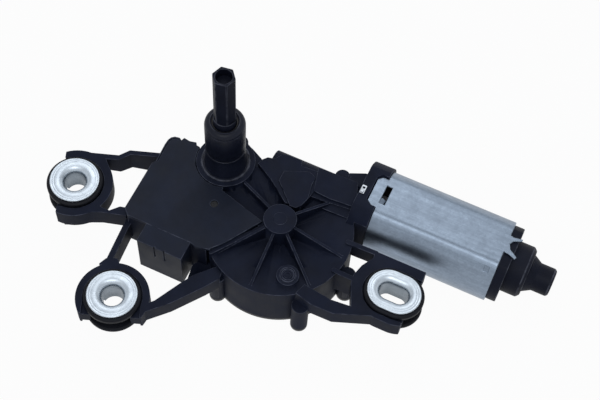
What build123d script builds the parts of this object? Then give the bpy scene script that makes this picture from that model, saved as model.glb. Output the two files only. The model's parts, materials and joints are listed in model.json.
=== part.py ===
"""Rear wiper motor: worm gearbox, swinging output spindle and motor can, one STEP file per piece.

The output spindle stands on the Z axis and the motor lies along X. The functions below count Z
from the top face of the left and the slotted mounting sleeves; main() then lowers every piece so
that the exported origin is where the straight wall of the tower starts. All sizes in mm.
"""

import os
from math import acos, atan, atan2, cos, degrees, hypot, pi, radians, sin, sqrt, tan

from build123d import *

# Driving dimensions
FIT = 0.05  # radial clearance of every running fit
WALL = 2.4  # moulded wall thickness

# output tower and spindle
TOWER_RADIUS = 9.8
TOWER_HEIGHT = 37.5
TOWER_BORE = 6.4
FOOT_RADIUS = 12.1
FOOT_HEIGHT = 1.6
FOOT_SINK = 0.6  # depth of the seat of the foot in the collar
CONE_HEIGHT = 3.0
RIM_ROUND = 2.6
RECESS_DEPTH = 5.0
COLLAR_RADIUS = 14.5
COLLAR_TOP = 1.0
SPINDLE_RADIUS = 4.5
SPINDLE_NECK = 3.5  # radius of both reduced ends of the spindle
HEX_FLATS = 9.6
HEX_LENGTH = 41.5  # from the floor of the recess to the end of the hexagon
HEX_TURN = -20.9  # degrees, as the photograph shows the hexagon
HEX_CORNERS = 1.13  # radius over the corners, as a share of half the flats
SKIRT_RADIUS = 5.5  # round foot of the hexagon
SKIRT_RISE = 3.6  # how far the round foot stands above the rim
SEAL_SINK = 1.1  # top of the seal below the rim
NOZZLE_RADIUS = 3.9
NOZZLE_DEPTH = 5.0
NOZZLE_FLOOR = 1.6
SEAL_HEIGHT = 2.0
UPPER_BUSH = 12.0
LOWER_BUSH = 14.0
BOSS_LOW = -15.0  # underside of the boss that holds the lower bush

# gear train
MODULE = 1.0
WHEEL_TEETH = 62
WHEEL_CENTRE = (38.5, -19.5)
WHEEL_FACE = 8.0
WORM_PITCH_RADIUS = 4.5
WORM_TURNS = 7.5
PINION_TEETH = 14
SECTOR_TEETH = 28
PRESSURE_ANGLE = 25.0
CRANK_RADIUS = 12.0
GUIDE_ANGLE = -30.0  # direction from the spindle to the link pivot at rest
AXLE_RADIUS = 4.0
PIVOT_RADIUS = 2.5
CRANK_PIN_RADIUS = 3.0
LINK_THICKNESS = 3.5
LINK_SWEEP = 1.2  # more room for the sector in front of the passage

# gearbox body
DRUM_WALL = 3.0
DRUM_GAP = 1.0  # air between the wheel and the wall of the drum
WHEEL_ROOM = 1.6  # air between the wheel and the roof
LINK_DROP = 5.0  # from the underside of the wheel to the sector link
LINK_ROOM = 3.0  # air below the sector link
COVER_PLATE = 2.0
ROOF_TOP = -7.0
RIM_Z = -4.0
RIM_LAND = 0.8
CHAMBER_RADIUS = 17.6  # outside of the spindle chamber
HUB_RADIUS = 8.0
HUB_TOP = 5.0
HUB_ROOF = 2.0
RIB_ANGLES = (-130.0, -89.0, -40.0, -2.0, 54.0)
RIB_WIDTH = 1.4
COVER_Z = -1.0  # top of the electronics tray walls
LID_THICKNESS = 1.8
TRAY_FLOOR = -24.0
TRAY_WALL = 2.0
BOSS_RADIUS = 4.2  # of the screw bosses round the base
BOSS_TOP = -11.0
SCREW_RADIUS = 1.5
SCREW_TOP = -18.0
LID_GAP = 0.4  # air between the lid and what stands through it
LID_GROOVE_WIDTH = 0.6
LID_GROOVE_DEPTH = 0.7
LID_SCREW_RADIUS = 1.2
LID_SCREW_LOW = -8.0
LID_BOSS = 3.4
PLUG_BORE = 4.0
PLUG_RISE = 6.2  # top of the plug above the lowest roof
WASHER_GAP = 0.6  # depth of the land that the thrust washer runs on
WEB_WIDTH = 2.4
LEG_WIDTH = 3.0
ARM_LOW = -20.0  # underside of the deep webs of the arms
ROOF_GRIP = 0.5  # how far the pieces on the roof reach into it

# motor
SHAFT_RADIUS = 2.5
CAN_HALF = 17.5  # from the motor axis to a flat
CAN_BULGE = 3.0  # how much wider the can is across its round sides
CAN_EDGE = 5.0  # radius of the soft edges between flat and round side
CAN_WALL = 1.4
CAN_START = 76.5
CAN_LENGTH = 64.5
FLANGE_LENGTH = 10.5
FLANGE_WALL = 2.0
FLANGE_LIP = 1.5  # how far the flange stands out beyond the can
CAP_PLATE = 5.0
CAP_BOSS = 9.5
CAP_NOSE = 12.5
CAP_BOSS_RADIUS = 13.0
CAP_NOSE_RADIUS = 7.1
TUNNEL_START = 18.0
TUNNEL_RADIUS = 8.4
TUNNEL_BORE = 6.2
FRONT_BUSH_RADIUS = 5.2
REAR_BUSH_RADIUS = 6.5
AIR_GAP = 0.7  # between magnets and armature
CLIP_THICKNESS = 0.8
CLIP_GAP = 1.1  # between magnet springs and armature
COMMUTATOR_RADIUS = 6.0
CARD_THICKNESS = 2.4
CARD_INSET = 3.5  # from the outline of the can in to the card and its recess
SPRING_WIRE = 0.5
BRUSH_HALF = 3.0
SLOT_WIDTH = 3.0
SLOT_FLOOR = 6.4
END_TURN = 4.5
MAGNET_OVERHANG = 3.0
CAP_SPIGOT = 12.0
PAD_ROOM = 0.8
TAB_LENGTH = 5.1
TAB_HALF = 8.6
TAB_ROOM = 0.3
DIMPLE_SET_BACK = 4.4
POLES = 10

# rubber mounted eyes: centre, opening direction of the fork, height of the sleeve flange
EYE_LEFT = (-61.3, -41.2)
EYE_LEFT_OPENS = 200.9
EYE_FRONT = (-17.0, -85.2)
EYE_FRONT_OPENS = -69.1
EYE_FRONT_Z = -4.0
EYE_SLOT = (101.9, -28.4)
SLOT_HALF = 2.8  # half the distance between the arc centres of the slotted sleeve
SLEEVE_BORE = 5.2
SLEEVE_TUBE = 6.4
SLEEVE_FLANGE = 12.0
SLEEVE_LENGTH = 14.6
FLANGE_THICKNESS = 1.2
SLOT_BORE = 4.25
SLOT_TUBE = 5.5
SLOT_FLANGE = 10.2
BEAD_OVERHANG = 1.7  # rubber bead beyond the sleeve flange
SEAT_DEPTH = 3.3  # groove of the grommet below its bead
BEAD_ROOM = 0.4  # air between bead and fork
GROOVE_DEPTH = 1.6  # from the edge of the sleeve flange in to the groove
BEAD_ROUND = 1.1
GROMMET_LIFT = 0.6  # how far the rubber stays above the foot of its sleeve
FUNNEL_ROUND = 2.0  # bend of the sleeve under its flange
NOTCH_WIDTH = 1.6
NOTCH_DEPTH = 4.0
FORK_LOW = -13.0
FORK_HIGH = -3.0

# connector
PLUG_LEFT, PLUG_RIGHT = -18.5, 5.0
PLUG_FRONT, PLUG_BACK = -57.5, -47.5
PLUG_LOW = -25.5
PLUG_WALL = 1.8
PLUG_FLOOR = -13.5  # roof of the mouth that faces down
PINS = 4
PIN_WIDTH, PIN_DEPTH = 1.2, 0.8
PIN_LOW, PIN_HIGH = -20.0, -10.2

# Derived positions
ORIGIN_Z = FOOT_HEIGHT + CONE_HEIGHT
HEX_LOW = TOWER_HEIGHT - RECESS_DEPTH
HEX_TOP = HEX_LOW + HEX_LENGTH
SPINDLE_TOP = HEX_TOP - NOZZLE_DEPTH - NOZZLE_FLOOR
WHEEL_RADIUS = MODULE * WHEEL_TEETH / 2
DRUM_BORE = WHEEL_RADIUS + MODULE + DRUM_GAP
DRUM_RADIUS = DRUM_BORE + DRUM_WALL
WORM_LEAD = pi * MODULE
LEAD_ANGLE = degrees(atan(WORM_LEAD / (2 * pi * WORM_PITCH_RADIUS)))
MOTOR_Y = WHEEL_CENTRE[1] + WHEEL_RADIUS + WORM_PITCH_RADIUS
PINION_RADIUS = MODULE * PINION_TEETH / 2
SECTOR_RADIUS = MODULE * SECTOR_TEETH / 2
GUIDE_LENGTH = PINION_RADIUS + SECTOR_RADIUS
SPAN_ANGLE = degrees(atan2(WHEEL_CENTRE[1], WHEEL_CENTRE[0]))
SPAN = hypot(*WHEEL_CENTRE)
CAVITY_TOP = ROOF_TOP - WALL
ROOF_FOOT = CAVITY_TOP + ROOF_GRIP
PLUG_TOP = ROOF_TOP + PLUG_RISE
WORM_START = WHEEL_CENTRE[0] - (WORM_TURNS / 2) * WORM_LEAD
WORM_END = WORM_START + WORM_TURNS * WORM_LEAD
WHEEL_HIGH = CAVITY_TOP - WHEEL_ROOM
WHEEL_LOW = WHEEL_HIGH - WHEEL_FACE
MOTOR_Z = (WHEEL_LOW + WHEEL_HIGH) / 2
LINK_HIGH = WHEEL_LOW - LINK_DROP
LINK_LOW = LINK_HIGH - LINK_THICKNESS
BASE_Z = LINK_LOW - LINK_ROOM  # joint face of the base cover
REST_Z = BASE_Z - COVER_PLATE
DEEP = 2 * (DRUM_RADIUS + HEX_LENGTH)  # a length that reaches past the whole part
CAN_RADIUS = CAN_HALF + CAN_BULGE
FLANGE_EDGE = CAN_EDGE - 2.0
CAN_END = CAN_START + CAN_LENGTH
FLAT_HALF = sqrt((CAN_RADIUS - CAN_EDGE) ** 2 - (CAN_HALF - CAN_EDGE) ** 2)
FLANGE_START = CAN_START - FLANGE_LENGTH
MOTOR_END = CAN_END + CAP_PLATE + CAP_BOSS + CAP_NOSE
NOSE_START = TUNNEL_START + 3.0
RECESS_START = FLANGE_START + FLANGE_WALL
CARD_END = RECESS_START + CARD_THICKNESS
BRUSH_SPAN = (CARD_END + 2.0, CARD_END + 8.8)
BOX_REACH = CAN_HALF - CAN_WALL + 0.3
BRUSH_BACK = BOX_REACH - 1.0 - 6 * SPRING_WIRE
STACK_START = CAN_START + 11.5
STACK_END = CAN_END - 15.0
STACK_RADIUS = CAN_HALF - CAN_WALL - CLIP_THICKNESS - CLIP_GAP
WINDING_RADIUS = STACK_RADIUS - 1.8
REAR_BUSH_END = CAN_END + 10.0
PAD_START = MOTOR_END - WALL - 3.9
MINZ = (Align.CENTER, Align.CENTER, Align.MIN)


def polar(radius, angle, centre=(0.0, 0.0)):
    """The point at a radius and an angle in degrees from a centre."""
    return centre[0] + radius * cos(radians(angle)), centre[1] + radius * sin(radians(angle))


PIVOT = polar(GUIDE_LENGTH, GUIDE_ANGLE)
PIVOT_TO_WHEEL = degrees(atan2(WHEEL_CENTRE[1] - PIVOT[1], WHEEL_CENTRE[0] - PIVOT[0]))
CRANK_PIN = polar(CRANK_RADIUS, PIVOT_TO_WHEEL - 90, WHEEL_CENTRE)


# Small building blocks
def disc(centre, radius, low, high):
    """An upright cylinder between two heights."""
    return Pos(centre[0], centre[1], low) * Cylinder(radius, high - low, align=MINZ)


def prism(points, low, high):
    """A plan polygon extruded between two heights."""
    return Pos(0, 0, low) * extrude(Polygon(*points), high - low, dir=(0, 0, 1))


def block(x, y, z):
    """A box from three (low, high) pairs."""
    sizes = [high - low for low, high in (x, y, z)]
    return Pos(*[(low + high) / 2 for low, high in (x, y, z)]) * Box(*sizes)


def stadium(centre, half, radius, low, high):
    """An upright prism with round ends, arc centres half to each side along X."""
    if half == 0:
        return disc(centre, radius, low, high)
    face = SlotCenterToCenter(2 * half, 2 * radius)
    return Pos(centre[0], centre[1], low) * extrude(face, high - low)


def motor_round(start, end, radius):
    """A cylinder on the motor axis between two X stations."""
    return Pos(start, MOTOR_Y, MOTOR_Z) * Rot(0, 90, 0) * Cylinder(radius, end - start, align=MINZ)


def motor_flat(start, end, inset, edge):
    """The outline of the can made smaller by an inset, with soft edges, between two X stations."""
    radius, half = CAN_RADIUS - inset, CAN_HALF - inset
    outline = Circle(radius) & Rectangle(2 * half, 4 * radius)
    outline = fillet(outline.vertices(), edge)
    return Pos(start, MOTOR_Y, MOTOR_Z) * Rot(0, 90, 0) * extrude(outline, end - start)


def strip(start, end, width, low, high):
    """A straight bar with square ends between two plan points."""
    length = hypot(end[0] - start[0], end[1] - start[1])
    turn = degrees(atan2(end[1] - start[1], end[0] - start[0]))
    bar = Pos(length / 2, 0, (low + high) / 2) * Box(length, width, high - low)
    return Pos(start[0], start[1], 0) * Rot(0, 0, turn) * bar


def wall(points, width, low, high):
    """An upright wall of one thickness that follows plan points, with round corners."""
    body = disc(points[0], width / 2, low, high)
    for start, end in zip(points, points[1:]):
        body += strip(start, end, width, low, high) + disc(end, width / 2, low, high)
    return body


def link_plate(start, start_radius, end, end_radius, low, high):
    """A tapered link: two round ends joined by their common tangents."""
    length = hypot(end[0] - start[0], end[1] - start[1])
    turn = degrees(atan2(end[1] - start[1], end[0] - start[0]))
    lean = degrees(acos((start_radius - end_radius) / length))
    corners = [
        polar(start_radius, turn + lean, start),
        polar(start_radius, turn - lean, start),
        polar(end_radius, turn - lean, end),
        polar(end_radius, turn + lean, end),
    ]
    ends = disc(start, start_radius, low, high) + disc(end, end_radius, low, high)
    return ends + prism(corners, low, high)


def group(*pieces):
    """Several solids that share one node."""
    return Compound([solid for piece in pieces for solid in piece.solids()])


# Gear shapes
def gear_outline(teeth, thinning):
    """Involute outline with one tooth centred on +X; thinning is taken off each tooth."""
    pitch = MODULE * teeth / 2
    base = pitch * cos(radians(PRESSURE_ANGLE))
    root, tip = pitch - 1.25 * MODULE, pitch + MODULE
    spread = tan(radians(PRESSURE_ANGLE)) - radians(PRESSURE_ANGLE)
    half = pi / 2 / teeth - thinning / 2 / pitch + spread

    def half_angle(radius):
        if radius <= base:
            return half
        roll = acos(base / radius)
        return half - (tan(roll) - roll)

    start = max(base, root)
    radii = [root] + [start + (tip - start) * step / 4 for step in range(5)]
    points = []
    for tooth in range(teeth):
        middle = 360 * tooth / teeth
        points += [polar(r, middle - degrees(half_angle(r))) for r in radii]
        points += [polar(r, middle + degrees(half_angle(r))) for r in reversed(radii)]
    return points


def worm_thread():
    """A single right-handed thread on the motor axis, centred in the gap that faces the wheel."""
    slope = tan(radians(20))
    pitch_half = WORM_LEAD / 4 - 0.22
    deep, high = -1.35 * MODULE, MODULE
    path = Helix(WORM_LEAD, WORM_TURNS * WORM_LEAD, WORM_PITCH_RADIUS)
    corners = [
        (deep, -pitch_half + slope * deep),
        (high, -pitch_half + slope * high),
        (high, pitch_half - slope * high),
        (deep, pitch_half - slope * deep),
    ]
    plane = Plane(origin=path @ 0, x_dir=(1, 0, 0), z_dir=path % 0)
    thread = sweep(plane * Polygon(*corners), path=path, is_frenet=True)
    return Pos(WORM_START, MOTOR_Y, MOTOR_Z) * Rot(0, 90, 0) * thread


def worm_wheel():
    """The wheel with leaning straight gaps, its thinner web and the crank boss below."""
    centre = WHEEL_CENTRE
    slope = tan(radians(20))
    gap_half = WORM_LEAD / 4 + 0.1
    low, high = -1.25 * MODULE, 1.1 * MODULE
    corners = [
        (low, -gap_half - slope * low),
        (high, -gap_half - slope * high),
        (high, gap_half + slope * high),
        (low, gap_half + slope * low),
    ]
    gap = extrude(Polygon(*corners), WHEEL_FACE, both=True)
    gap = Pos(WHEEL_RADIUS, 0, 0) * Rot(-LEAD_ANGLE, 0, 0) * gap
    gaps = [Rot(0, 0, 90 + 360 * n / WHEEL_TEETH) * gap for n in range(WHEEL_TEETH)]
    rim = Cylinder(WHEEL_RADIUS + MODULE, WHEEL_FACE) - gaps
    dish = Cylinder(WHEEL_RADIUS - 4, 2) - Cylinder(AXLE_RADIUS + 4, 2)
    lift = WHEEL_FACE / 2 - 1
    rim -= Pos(0, 0, lift) * dish + Pos(0, 0, -lift) * dish
    wheel = Pos(centre[0], centre[1], MOTOR_Z) * rim
    wheel += disc(CRANK_PIN, CRANK_PIN_RADIUS + 1.5, WHEEL_LOW - 0.8, MOTOR_Z)
    wheel += disc(centre, AXLE_RADIUS + 3, MOTOR_Z, WHEEL_HIGH)
    wheel -= disc(centre, AXLE_RADIUS + FIT, WHEEL_LOW - 2, 0)
    return wheel - disc(centre, AXLE_RADIUS + 2, WHEEL_LOW - 2, WHEEL_LOW + 1.5)


# Gearbox body
TRAY = [
    (-28.8, PLUG_BACK), (-31.6, -44.6), (-31.6, -16.6), (-30.6, -15.0), (-30.8, -2.4),
    (-30.0, 0.0), (-28.6, 1.1), (-26.2, 1.6), (-14.0, 2.2), (0.0, 0.0), (12.0, -20.0), (13.0, PLUG_BACK),
]
LID = [
    (-28.8, PLUG_BACK), (-31.9, -44.5), (-31.9, -16.8), (-30.7, -15.2), (-31.2, -4.7), (-31.0, -1.7),
    (-30.3, 0.1), (-28.8, 1.4), (-26.3, 1.9), (-24.9, 1.0), (-24.3, 2.8), (-20.9, 2.3), (-17.7, 3.1),
    (-16.8, 1.7), (-4.0, 0.0), (5.0, -12.0),
    (5.8, -15.6), (30.5, -22.4), (15.9, -46.6), (8.0, -48.6), (PLUG_RIGHT, PLUG_BACK),
]
LID_GROOVE = [(-30.0, -14.6), (-30.3, -4.9), (-30.1, -2.0), (-29.4, -0.4), (-28.3, 0.5), (-26.2, 0.9)]
SHIELD = [
    (14.2, 6.7), (23.8, 1.3), (35.6, -7.5), (43.4, -6.6), (45.6, 4.2), (45.4, 15.6), (34.4, 14.7),
    (32.9, 17.8), (25.5, 17.3), (23.1, 16.7), (20.6, 12.7), (17.2, 11.9), (15.4, 9.8),
]
TONGUE = [
    (27.8, 2.0), (38.6, -8.5), (41.6, -8.3), (43.6, -6.0), (44.9, -1.2), (43.4, 6.8), (43.5, 11.2),
    (39.4, 12.9), (27.9, 7.9),
]
TUNNEL_BLOCK = [(42.6, 17.4), (63.2, 18.0), (67.8, 4.6), (54.0, 3.6), (45.5, 4.2), (42.6, 15.6)]
TUNNEL_STEPS = [
    ([(45.0, 1.9), (52.9, 2.2), (67.5, 3.9), (67.8, 5.5), (45.0, 5.5)], -2.4),
    ([(52.0, -1.2), (68.5, -0.8), (68.5, 5.0), (52.0, 5.0)], -3.6),
]
LID_EDGE = [(5.8, -17.0), (31.5, -24.0)]
CHANNEL_WEB = [(12.0, -5.3), (31.5, -13.6)]
FRONT_EDGE = [(31.0, -24.6), (15.4, -47.0)]
CLIP_BLOCK = [(56.7, 19.0), (56.7, 23.1), (64.0, 26.5), (67.0, 26.5), (67.0, 19.0)]
GUSSET = [
    (85.0, -11.3), (85.8, -15.0), (82.4, -21.1), (80.8, -27.1), (81.4, -32.0), (86.2, -42.8),
    (76.0, -43.8), (62.0, -42.0), (60.0, -48.0), (69.0, -50.2), (80.0, -50.0), (98.6, -42.6),
    (109.7, -37.2), (111.5, -34.0), (111.5, -11.3),
]
BACK_WEB = [(71.5, -12.6), (86.0, -12.2)]
MIDDLE_WEB = [(71.5, -29.2), (83.0, -29.4)]
UPPER_PLATE = [(-69.8, -25.6), (-49.7, -18.3), (-48.8, -20.4), (-54.5, -22.8), (-50.0, -27.0), (-56.0, -33.0)]
UPPER_ARM = [(-56.0, -22.4), (-49.2, -19.6), (-45.4, -14.4), (-29.5, -8.6)]
UPPER_ARM_SLOPE = [(-58.0, FORK_LOW), (-29.0, -19.0), (-29.0, 0.0), (-58.0, 0.0)]
LOWER_ARM = [
    (-58.4, -59.2), (-54.9, -57.6), (-47.0, -52.4), (-42.0, -50.0), (-30.5, -46.6), (-30.5, -42.0),
    (-35.5, -43.3), (-39.1, -47.4), (-44.2, -47.4), (-50.0, -54.0),
]
LEFT_LEG = [(-29.0, -46.0), (-29.1, -50.0), (-27.6, -68.5)]
LEFT_PATCH = [(-31.0, -73.0), (-29.4, -69.1), (-27.0, -67.4), (-24.2, -66.8), (-22.6, -68.4), (-19.0, -74.0)]
RIGHT_LEG = [
    (-3.0, -84.0), (1.7, -78.3), (8.2, -65.4), (12.0, -58.8), (20.8, -49.0), (23.0, -50.0),
    (24.0, -55.0), (19.6, -62.0), (9.0, -76.5), (0.0, -86.0),
]
LEDGE = [(8.6, -63.0), (PLUG_RIGHT + 1.6, -50.0), (10.0, -44.0), (22.0, -48.0), (12.0, -58.8)]
SCREW_SPOTS = [
    polar(DRUM_RADIUS + 3.0, -50, WHEEL_CENTRE),
    polar(DRUM_RADIUS + 1.0, -118, WHEEL_CENTRE),
    polar(DRUM_RADIUS + 3.0, -8, WHEEL_CENTRE),
    polar(CHAMBER_RADIUS + 1.6, 95),
    polar(CHAMBER_RADIUS + 1.6, 215),
]
LID_SCREW = (5.6, -23.9)
PLUG_SPOT = (53.2, -41.9)
BOARD = ((-28.4, -0.8), (-44.4, -22.0))
BOARD_Z = -17.6
BOARD_TOP = BOARD_Z + 1.6


def chamber(radius, low, high):
    """The spindle chamber and its passage to the drum, wider in front where the sector swings."""
    body = disc((0, 0), radius, low, high) + strip((0, 0), WHEEL_CENTRE, 2 * radius, low, high)
    start = polar(LINK_SWEEP, SPAN_ANGLE - 90)
    end = polar(LINK_SWEEP, SPAN_ANGLE - 90, WHEEL_CENTRE)
    return body + strip(start, end, 2 * radius, low, high)


def dish_height(radius):
    """Height of the dished roof at a distance from the wheel axis."""
    share = (radius - HUB_RADIUS) / (DRUM_RADIUS - RIM_LAND - HUB_RADIUS)
    return ROOF_TOP + share * (RIM_Z - ROOF_TOP)


def roof_dish():
    """The space above the roof, a flat cone from the foot of the hub up to the rim."""
    depth = RIM_Z - ROOF_TOP
    cone = Cone(HUB_RADIUS, DRUM_RADIUS - RIM_LAND, depth, align=MINZ)
    return Pos(WHEEL_CENTRE[0], WHEEL_CENTRE[1], ROOF_TOP) * cone


def rib(angle):
    """A web that falls from the hub to the rim of the drum."""
    start, edge = HUB_RADIUS - 1, DRUM_RADIUS - 3 * RIM_LAND
    profile = [(start, ROOF_FOOT), (edge, ROOF_FOOT), (edge, dish_height(edge)), (start, HUB_TOP - 1.8)]
    web = extrude(Plane.XZ * Polygon(*profile), RIB_WIDTH / 2, both=True)
    return Pos(WHEEL_CENTRE[0], WHEEL_CENTRE[1], 0) * Rot(0, 0, angle) * web


def fork(centre, half, bead, opens, reach, tip):
    """The plate round a grommet, cut off square beyond the eye on its open side."""
    plate = stadium(centre, half, bead + reach, FORK_LOW, FORK_HIGH)
    far = 4 * (bead + reach)
    beyond = Pos(tip + far / 2, 0, 0) * Box(far, far, far)
    return plate - Pos(centre[0], centre[1], 0) * Rot(0, 0, opens) * beyond


def fork_cut(centre, half, flange, opens, top):
    """The seat of a grommet, its two bead recesses and the way in from the open side."""
    bead, groove = flange + BEAD_OVERHANG, flange - GROOVE_DEPTH
    high, low = top - FLANGE_THICKNESS - SEAT_DEPTH, top - SLEEVE_LENGTH + SEAT_DEPTH
    cut = stadium(centre, half, groove, low - DEEP, high + DEEP)
    cut += stadium(centre, half, bead + BEAD_ROOM, high, high + DEEP)
    cut += stadium(centre, half, bead + BEAD_ROOM, low - DEEP, low)
    mouth = Pos(2 * bead, 0, (high + low) / 2) * Box(4 * bead, 1.8 * groove, DEEP)
    above = Pos(2 * bead, 0, high + DEEP / 2) * Box(4 * bead, 2 * bead, DEEP)
    below = Pos(2 * bead, 0, low - DEEP / 2) * Box(4 * bead, 2 * bead, DEEP)
    return cut + Pos(centre[0], centre[1], 0) * Rot(0, 0, opens) * (mouth + above + below)


def outer_shell():
    """The closed outside of drum, spindle chamber and worm tunnel, with the screw bosses."""
    shell = disc(WHEEL_CENTRE, DRUM_RADIUS, BASE_Z, RIM_Z) + chamber(CHAMBER_RADIUS, BASE_Z, ROOF_TOP)
    shell += motor_round(TUNNEL_START, FLANGE_START + 1, TUNNEL_RADIUS)
    shell += motor_round(FLANGE_START - 8, FLANGE_START + 1, TUNNEL_RADIUS + 4)
    for spot in SCREW_SPOTS:
        shell += disc(spot, BOSS_RADIUS, BASE_Z, BOSS_TOP)
    return shell


def motor_flange():
    """The hollow flange that takes the open end of the can, cut away on the near side."""
    flange = motor_flat(FLANGE_START, CAN_START, -FLANGE_LIP, FLANGE_EDGE)
    across = (MOTOR_Y - DEEP, MOTOR_Y + DEEP)
    flange &= block((FLANGE_START, CAN_START), across, (REST_Z, MOTOR_Z + CAN_HALF + FLANGE_LIP))
    near_side = (MOTOR_Y - DEEP, MOTOR_Y - CAN_HALF - 0.5)
    return flange - block((FLANGE_START + 4, CAN_START + 1), near_side, (REST_Z - 1, DEEP))


def arms():
    """The gusset with its webs, the arms and legs, and the plates of the three forks."""
    body = prism(GUSSET, FORK_LOW, FORK_HIGH)
    body += wall(BACK_WEB, WEB_WIDTH, FORK_LOW, FORK_HIGH)
    body += wall(MIDDLE_WEB, WEB_WIDTH, ARM_LOW, FORK_HIGH)
    body += fork(EYE_SLOT, SLOT_HALF, SLOT_FLANGE + BEAD_OVERHANG, 0, 3.2, 9.0)
    slope = extrude(Plane.XZ * Polygon(*UPPER_ARM_SLOPE), DEEP, both=True)
    body += wall(UPPER_ARM, WEB_WIDTH, ARM_LOW, FORK_HIGH) & slope
    body += prism(UPPER_PLATE, FORK_LOW, FORK_HIGH) + prism(LOWER_ARM, FORK_LOW - 1, FORK_HIGH)
    body += fork(EYE_LEFT, 0, SLEEVE_FLANGE + BEAD_OVERHANG, EYE_LEFT_OPENS, 4.6, 7.0)
    drop = Pos(0, 0, EYE_FRONT_Z)
    body += drop * fork(EYE_FRONT, 0, SLEEVE_FLANGE + BEAD_OVERHANG, EYE_FRONT_OPENS, 3.8, 9.5)
    body += drop * (prism(LEFT_PATCH, FORK_LOW, FORK_HIGH) + prism(RIGHT_LEG, FORK_LOW, FORK_HIGH))
    body += wall(LEFT_LEG, LEG_WIDTH, ARM_LOW, EYE_FRONT_Z + FORK_HIGH)
    return body + prism(LEDGE, TRAY_FLOOR, EYE_FRONT_Z + FORK_LOW)


def tray():
    """The walls and floor of the electronics tray, with posts for the circuit board."""
    body = prism(TRAY, TRAY_FLOOR, COVER_Z)
    inside = offset(Polygon(*TRAY), -TRAY_WALL, kind=Kind.INTERSECTION)
    body -= Pos(0, 0, TRAY_FLOOR + TRAY_WALL) * extrude(inside, DEEP, dir=(0, 0, 1))
    (left, right), (front, back) = BOARD
    for x in (left + 2.5, right - 2.5):
        for y in (front + 2.5, back - 2.5):
            body += disc((x, y), 2, TRAY_FLOOR + TRAY_WALL / 2, BOARD_Z)
    return body


def pin_window():
    """The passage of the connector pins through the front wall of the tray."""
    wide = (PLUG_LEFT + 3.4, PLUG_RIGHT - 3.4)
    return block(wide, (PLUG_BACK - 5.2, PLUG_BACK + 4), (PIN_HIGH - 1.2, PIN_HIGH + 0.4))


def roof_features():
    """Everything that stands on the roof: hub, ribs, channel webs, shield, collar and bosses."""
    body = disc(WHEEL_CENTRE, HUB_RADIUS, CAVITY_TOP, HUB_TOP)
    body += disc(WHEEL_CENTRE, HUB_RADIUS - 4.6, HUB_TOP, HUB_TOP + 0.3)
    for angle in RIB_ANGLES:
        body += rib(angle)
    for line, width in ((LID_EDGE, TRAY_WALL), (CHANNEL_WEB, RIB_WIDTH), (FRONT_EDGE, TRAY_WALL)):
        body += wall(line, width, ROOF_FOOT, COVER_Z)
    body += prism(SHIELD, ROOF_FOOT, COVER_Z) + prism(TONGUE, COVER_Z, COVER_Z + 1)
    body += prism(TUNNEL_BLOCK, ROOF_FOOT, COVER_Z + 0.6)
    for points, top in TUNNEL_STEPS:
        body += prism(points, ROOF_FOOT, top)
    body += disc((54.2, MOTOR_Y + 4.2), 3.8, MOTOR_Z, -4.5) + prism(CLIP_BLOCK, MOTOR_Z, -4.0)
    body += disc((0, 0), COLLAR_RADIUS, CAVITY_TOP, COLLAR_TOP)
    body += disc(LID_SCREW, LID_BOSS, ROOF_FOOT, COVER_Z)
    return body + disc(PLUG_SPOT, PLUG_BORE + 1.4, CAVITY_TOP, PLUG_TOP - 0.6)


def gear_housing():
    """The moulded gearbox body with its arms, hollowed for wheel, links, worm and electronics."""
    body = outer_shell() + motor_flange() + arms()
    body -= roof_dish()
    keep = chamber(CHAMBER_RADIUS, TRAY_FLOOR - 1, 0) + disc(WHEEL_CENTRE, DRUM_RADIUS, TRAY_FLOOR - 1, 0)
    body += tray() - keep
    body += roof_features()
    body -= chamber(CHAMBER_RADIUS - WALL, BASE_Z, CAVITY_TOP)
    body -= disc(WHEEL_CENTRE, DRUM_BORE, BASE_Z, CAVITY_TOP)
    body += disc(WHEEL_CENTRE, AXLE_RADIUS + 3, CAVITY_TOP - WASHER_GAP, ROOF_FOOT)
    body += disc((0, 0), TOWER_BORE + WALL, BOSS_LOW, ROOF_FOOT)
    body -= motor_round(NOSE_START, FLANGE_START - 10, TUNNEL_BORE)
    body -= motor_round(NOSE_START, RECESS_START + 1, FRONT_BUSH_RADIUS)
    body -= motor_flat(RECESS_START, CAN_START + 1, CARD_INSET, FLANGE_EDGE)
    body -= disc(WHEEL_CENTRE, AXLE_RADIUS, BASE_Z - 1, HUB_TOP - HUB_ROOF)
    body -= disc((0, 0), TOWER_BORE, -DEEP, DEEP) + disc((0, 0), FOOT_RADIUS, -FOOT_SINK, DEEP)
    body -= fork_cut(EYE_LEFT, 0, SLEEVE_FLANGE, EYE_LEFT_OPENS, 0)
    body -= fork_cut(EYE_FRONT, 0, SLEEVE_FLANGE, EYE_FRONT_OPENS, EYE_FRONT_Z)
    body -= fork_cut(EYE_SLOT, SLOT_HALF, SLOT_FLANGE, 0, 0)
    body -= pin_window()
    body -= disc(LID_SCREW, LID_SCREW_RADIUS, LID_SCREW_LOW, DEEP)
    body -= disc(PLUG_SPOT, PLUG_BORE, CAVITY_TOP - 1, DEEP)
    for spot in SCREW_SPOTS:
        body -= disc(spot, SCREW_RADIUS, BASE_Z - 1, SCREW_TOP)
    for side in (1, -1):
        body -= can_tab(side, TAB_ROOM, DEEP)
    return body


# Fixed pieces round the gearbox
def base_cover():
    """The plate that closes drum and spindle chamber from below, with countersunk screw holes."""
    plate = disc(WHEEL_CENTRE, DRUM_RADIUS, REST_Z, BASE_Z) + chamber(CHAMBER_RADIUS, REST_Z, BASE_Z)
    for spot in SCREW_SPOTS:
        plate += disc(spot, BOSS_RADIUS, REST_Z, BASE_Z)
    beside_flange = (MOTOR_Y - CAN_RADIUS - FLANGE_LIP - 0.2, MOTOR_Y + DEEP)
    plate -= block((FLANGE_START - 0.4, DEEP), beside_flange, (REST_Z - 1, BASE_Z + 1))
    for spot in SCREW_SPOTS:
        plate -= screw(spot)
    return plate


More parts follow.
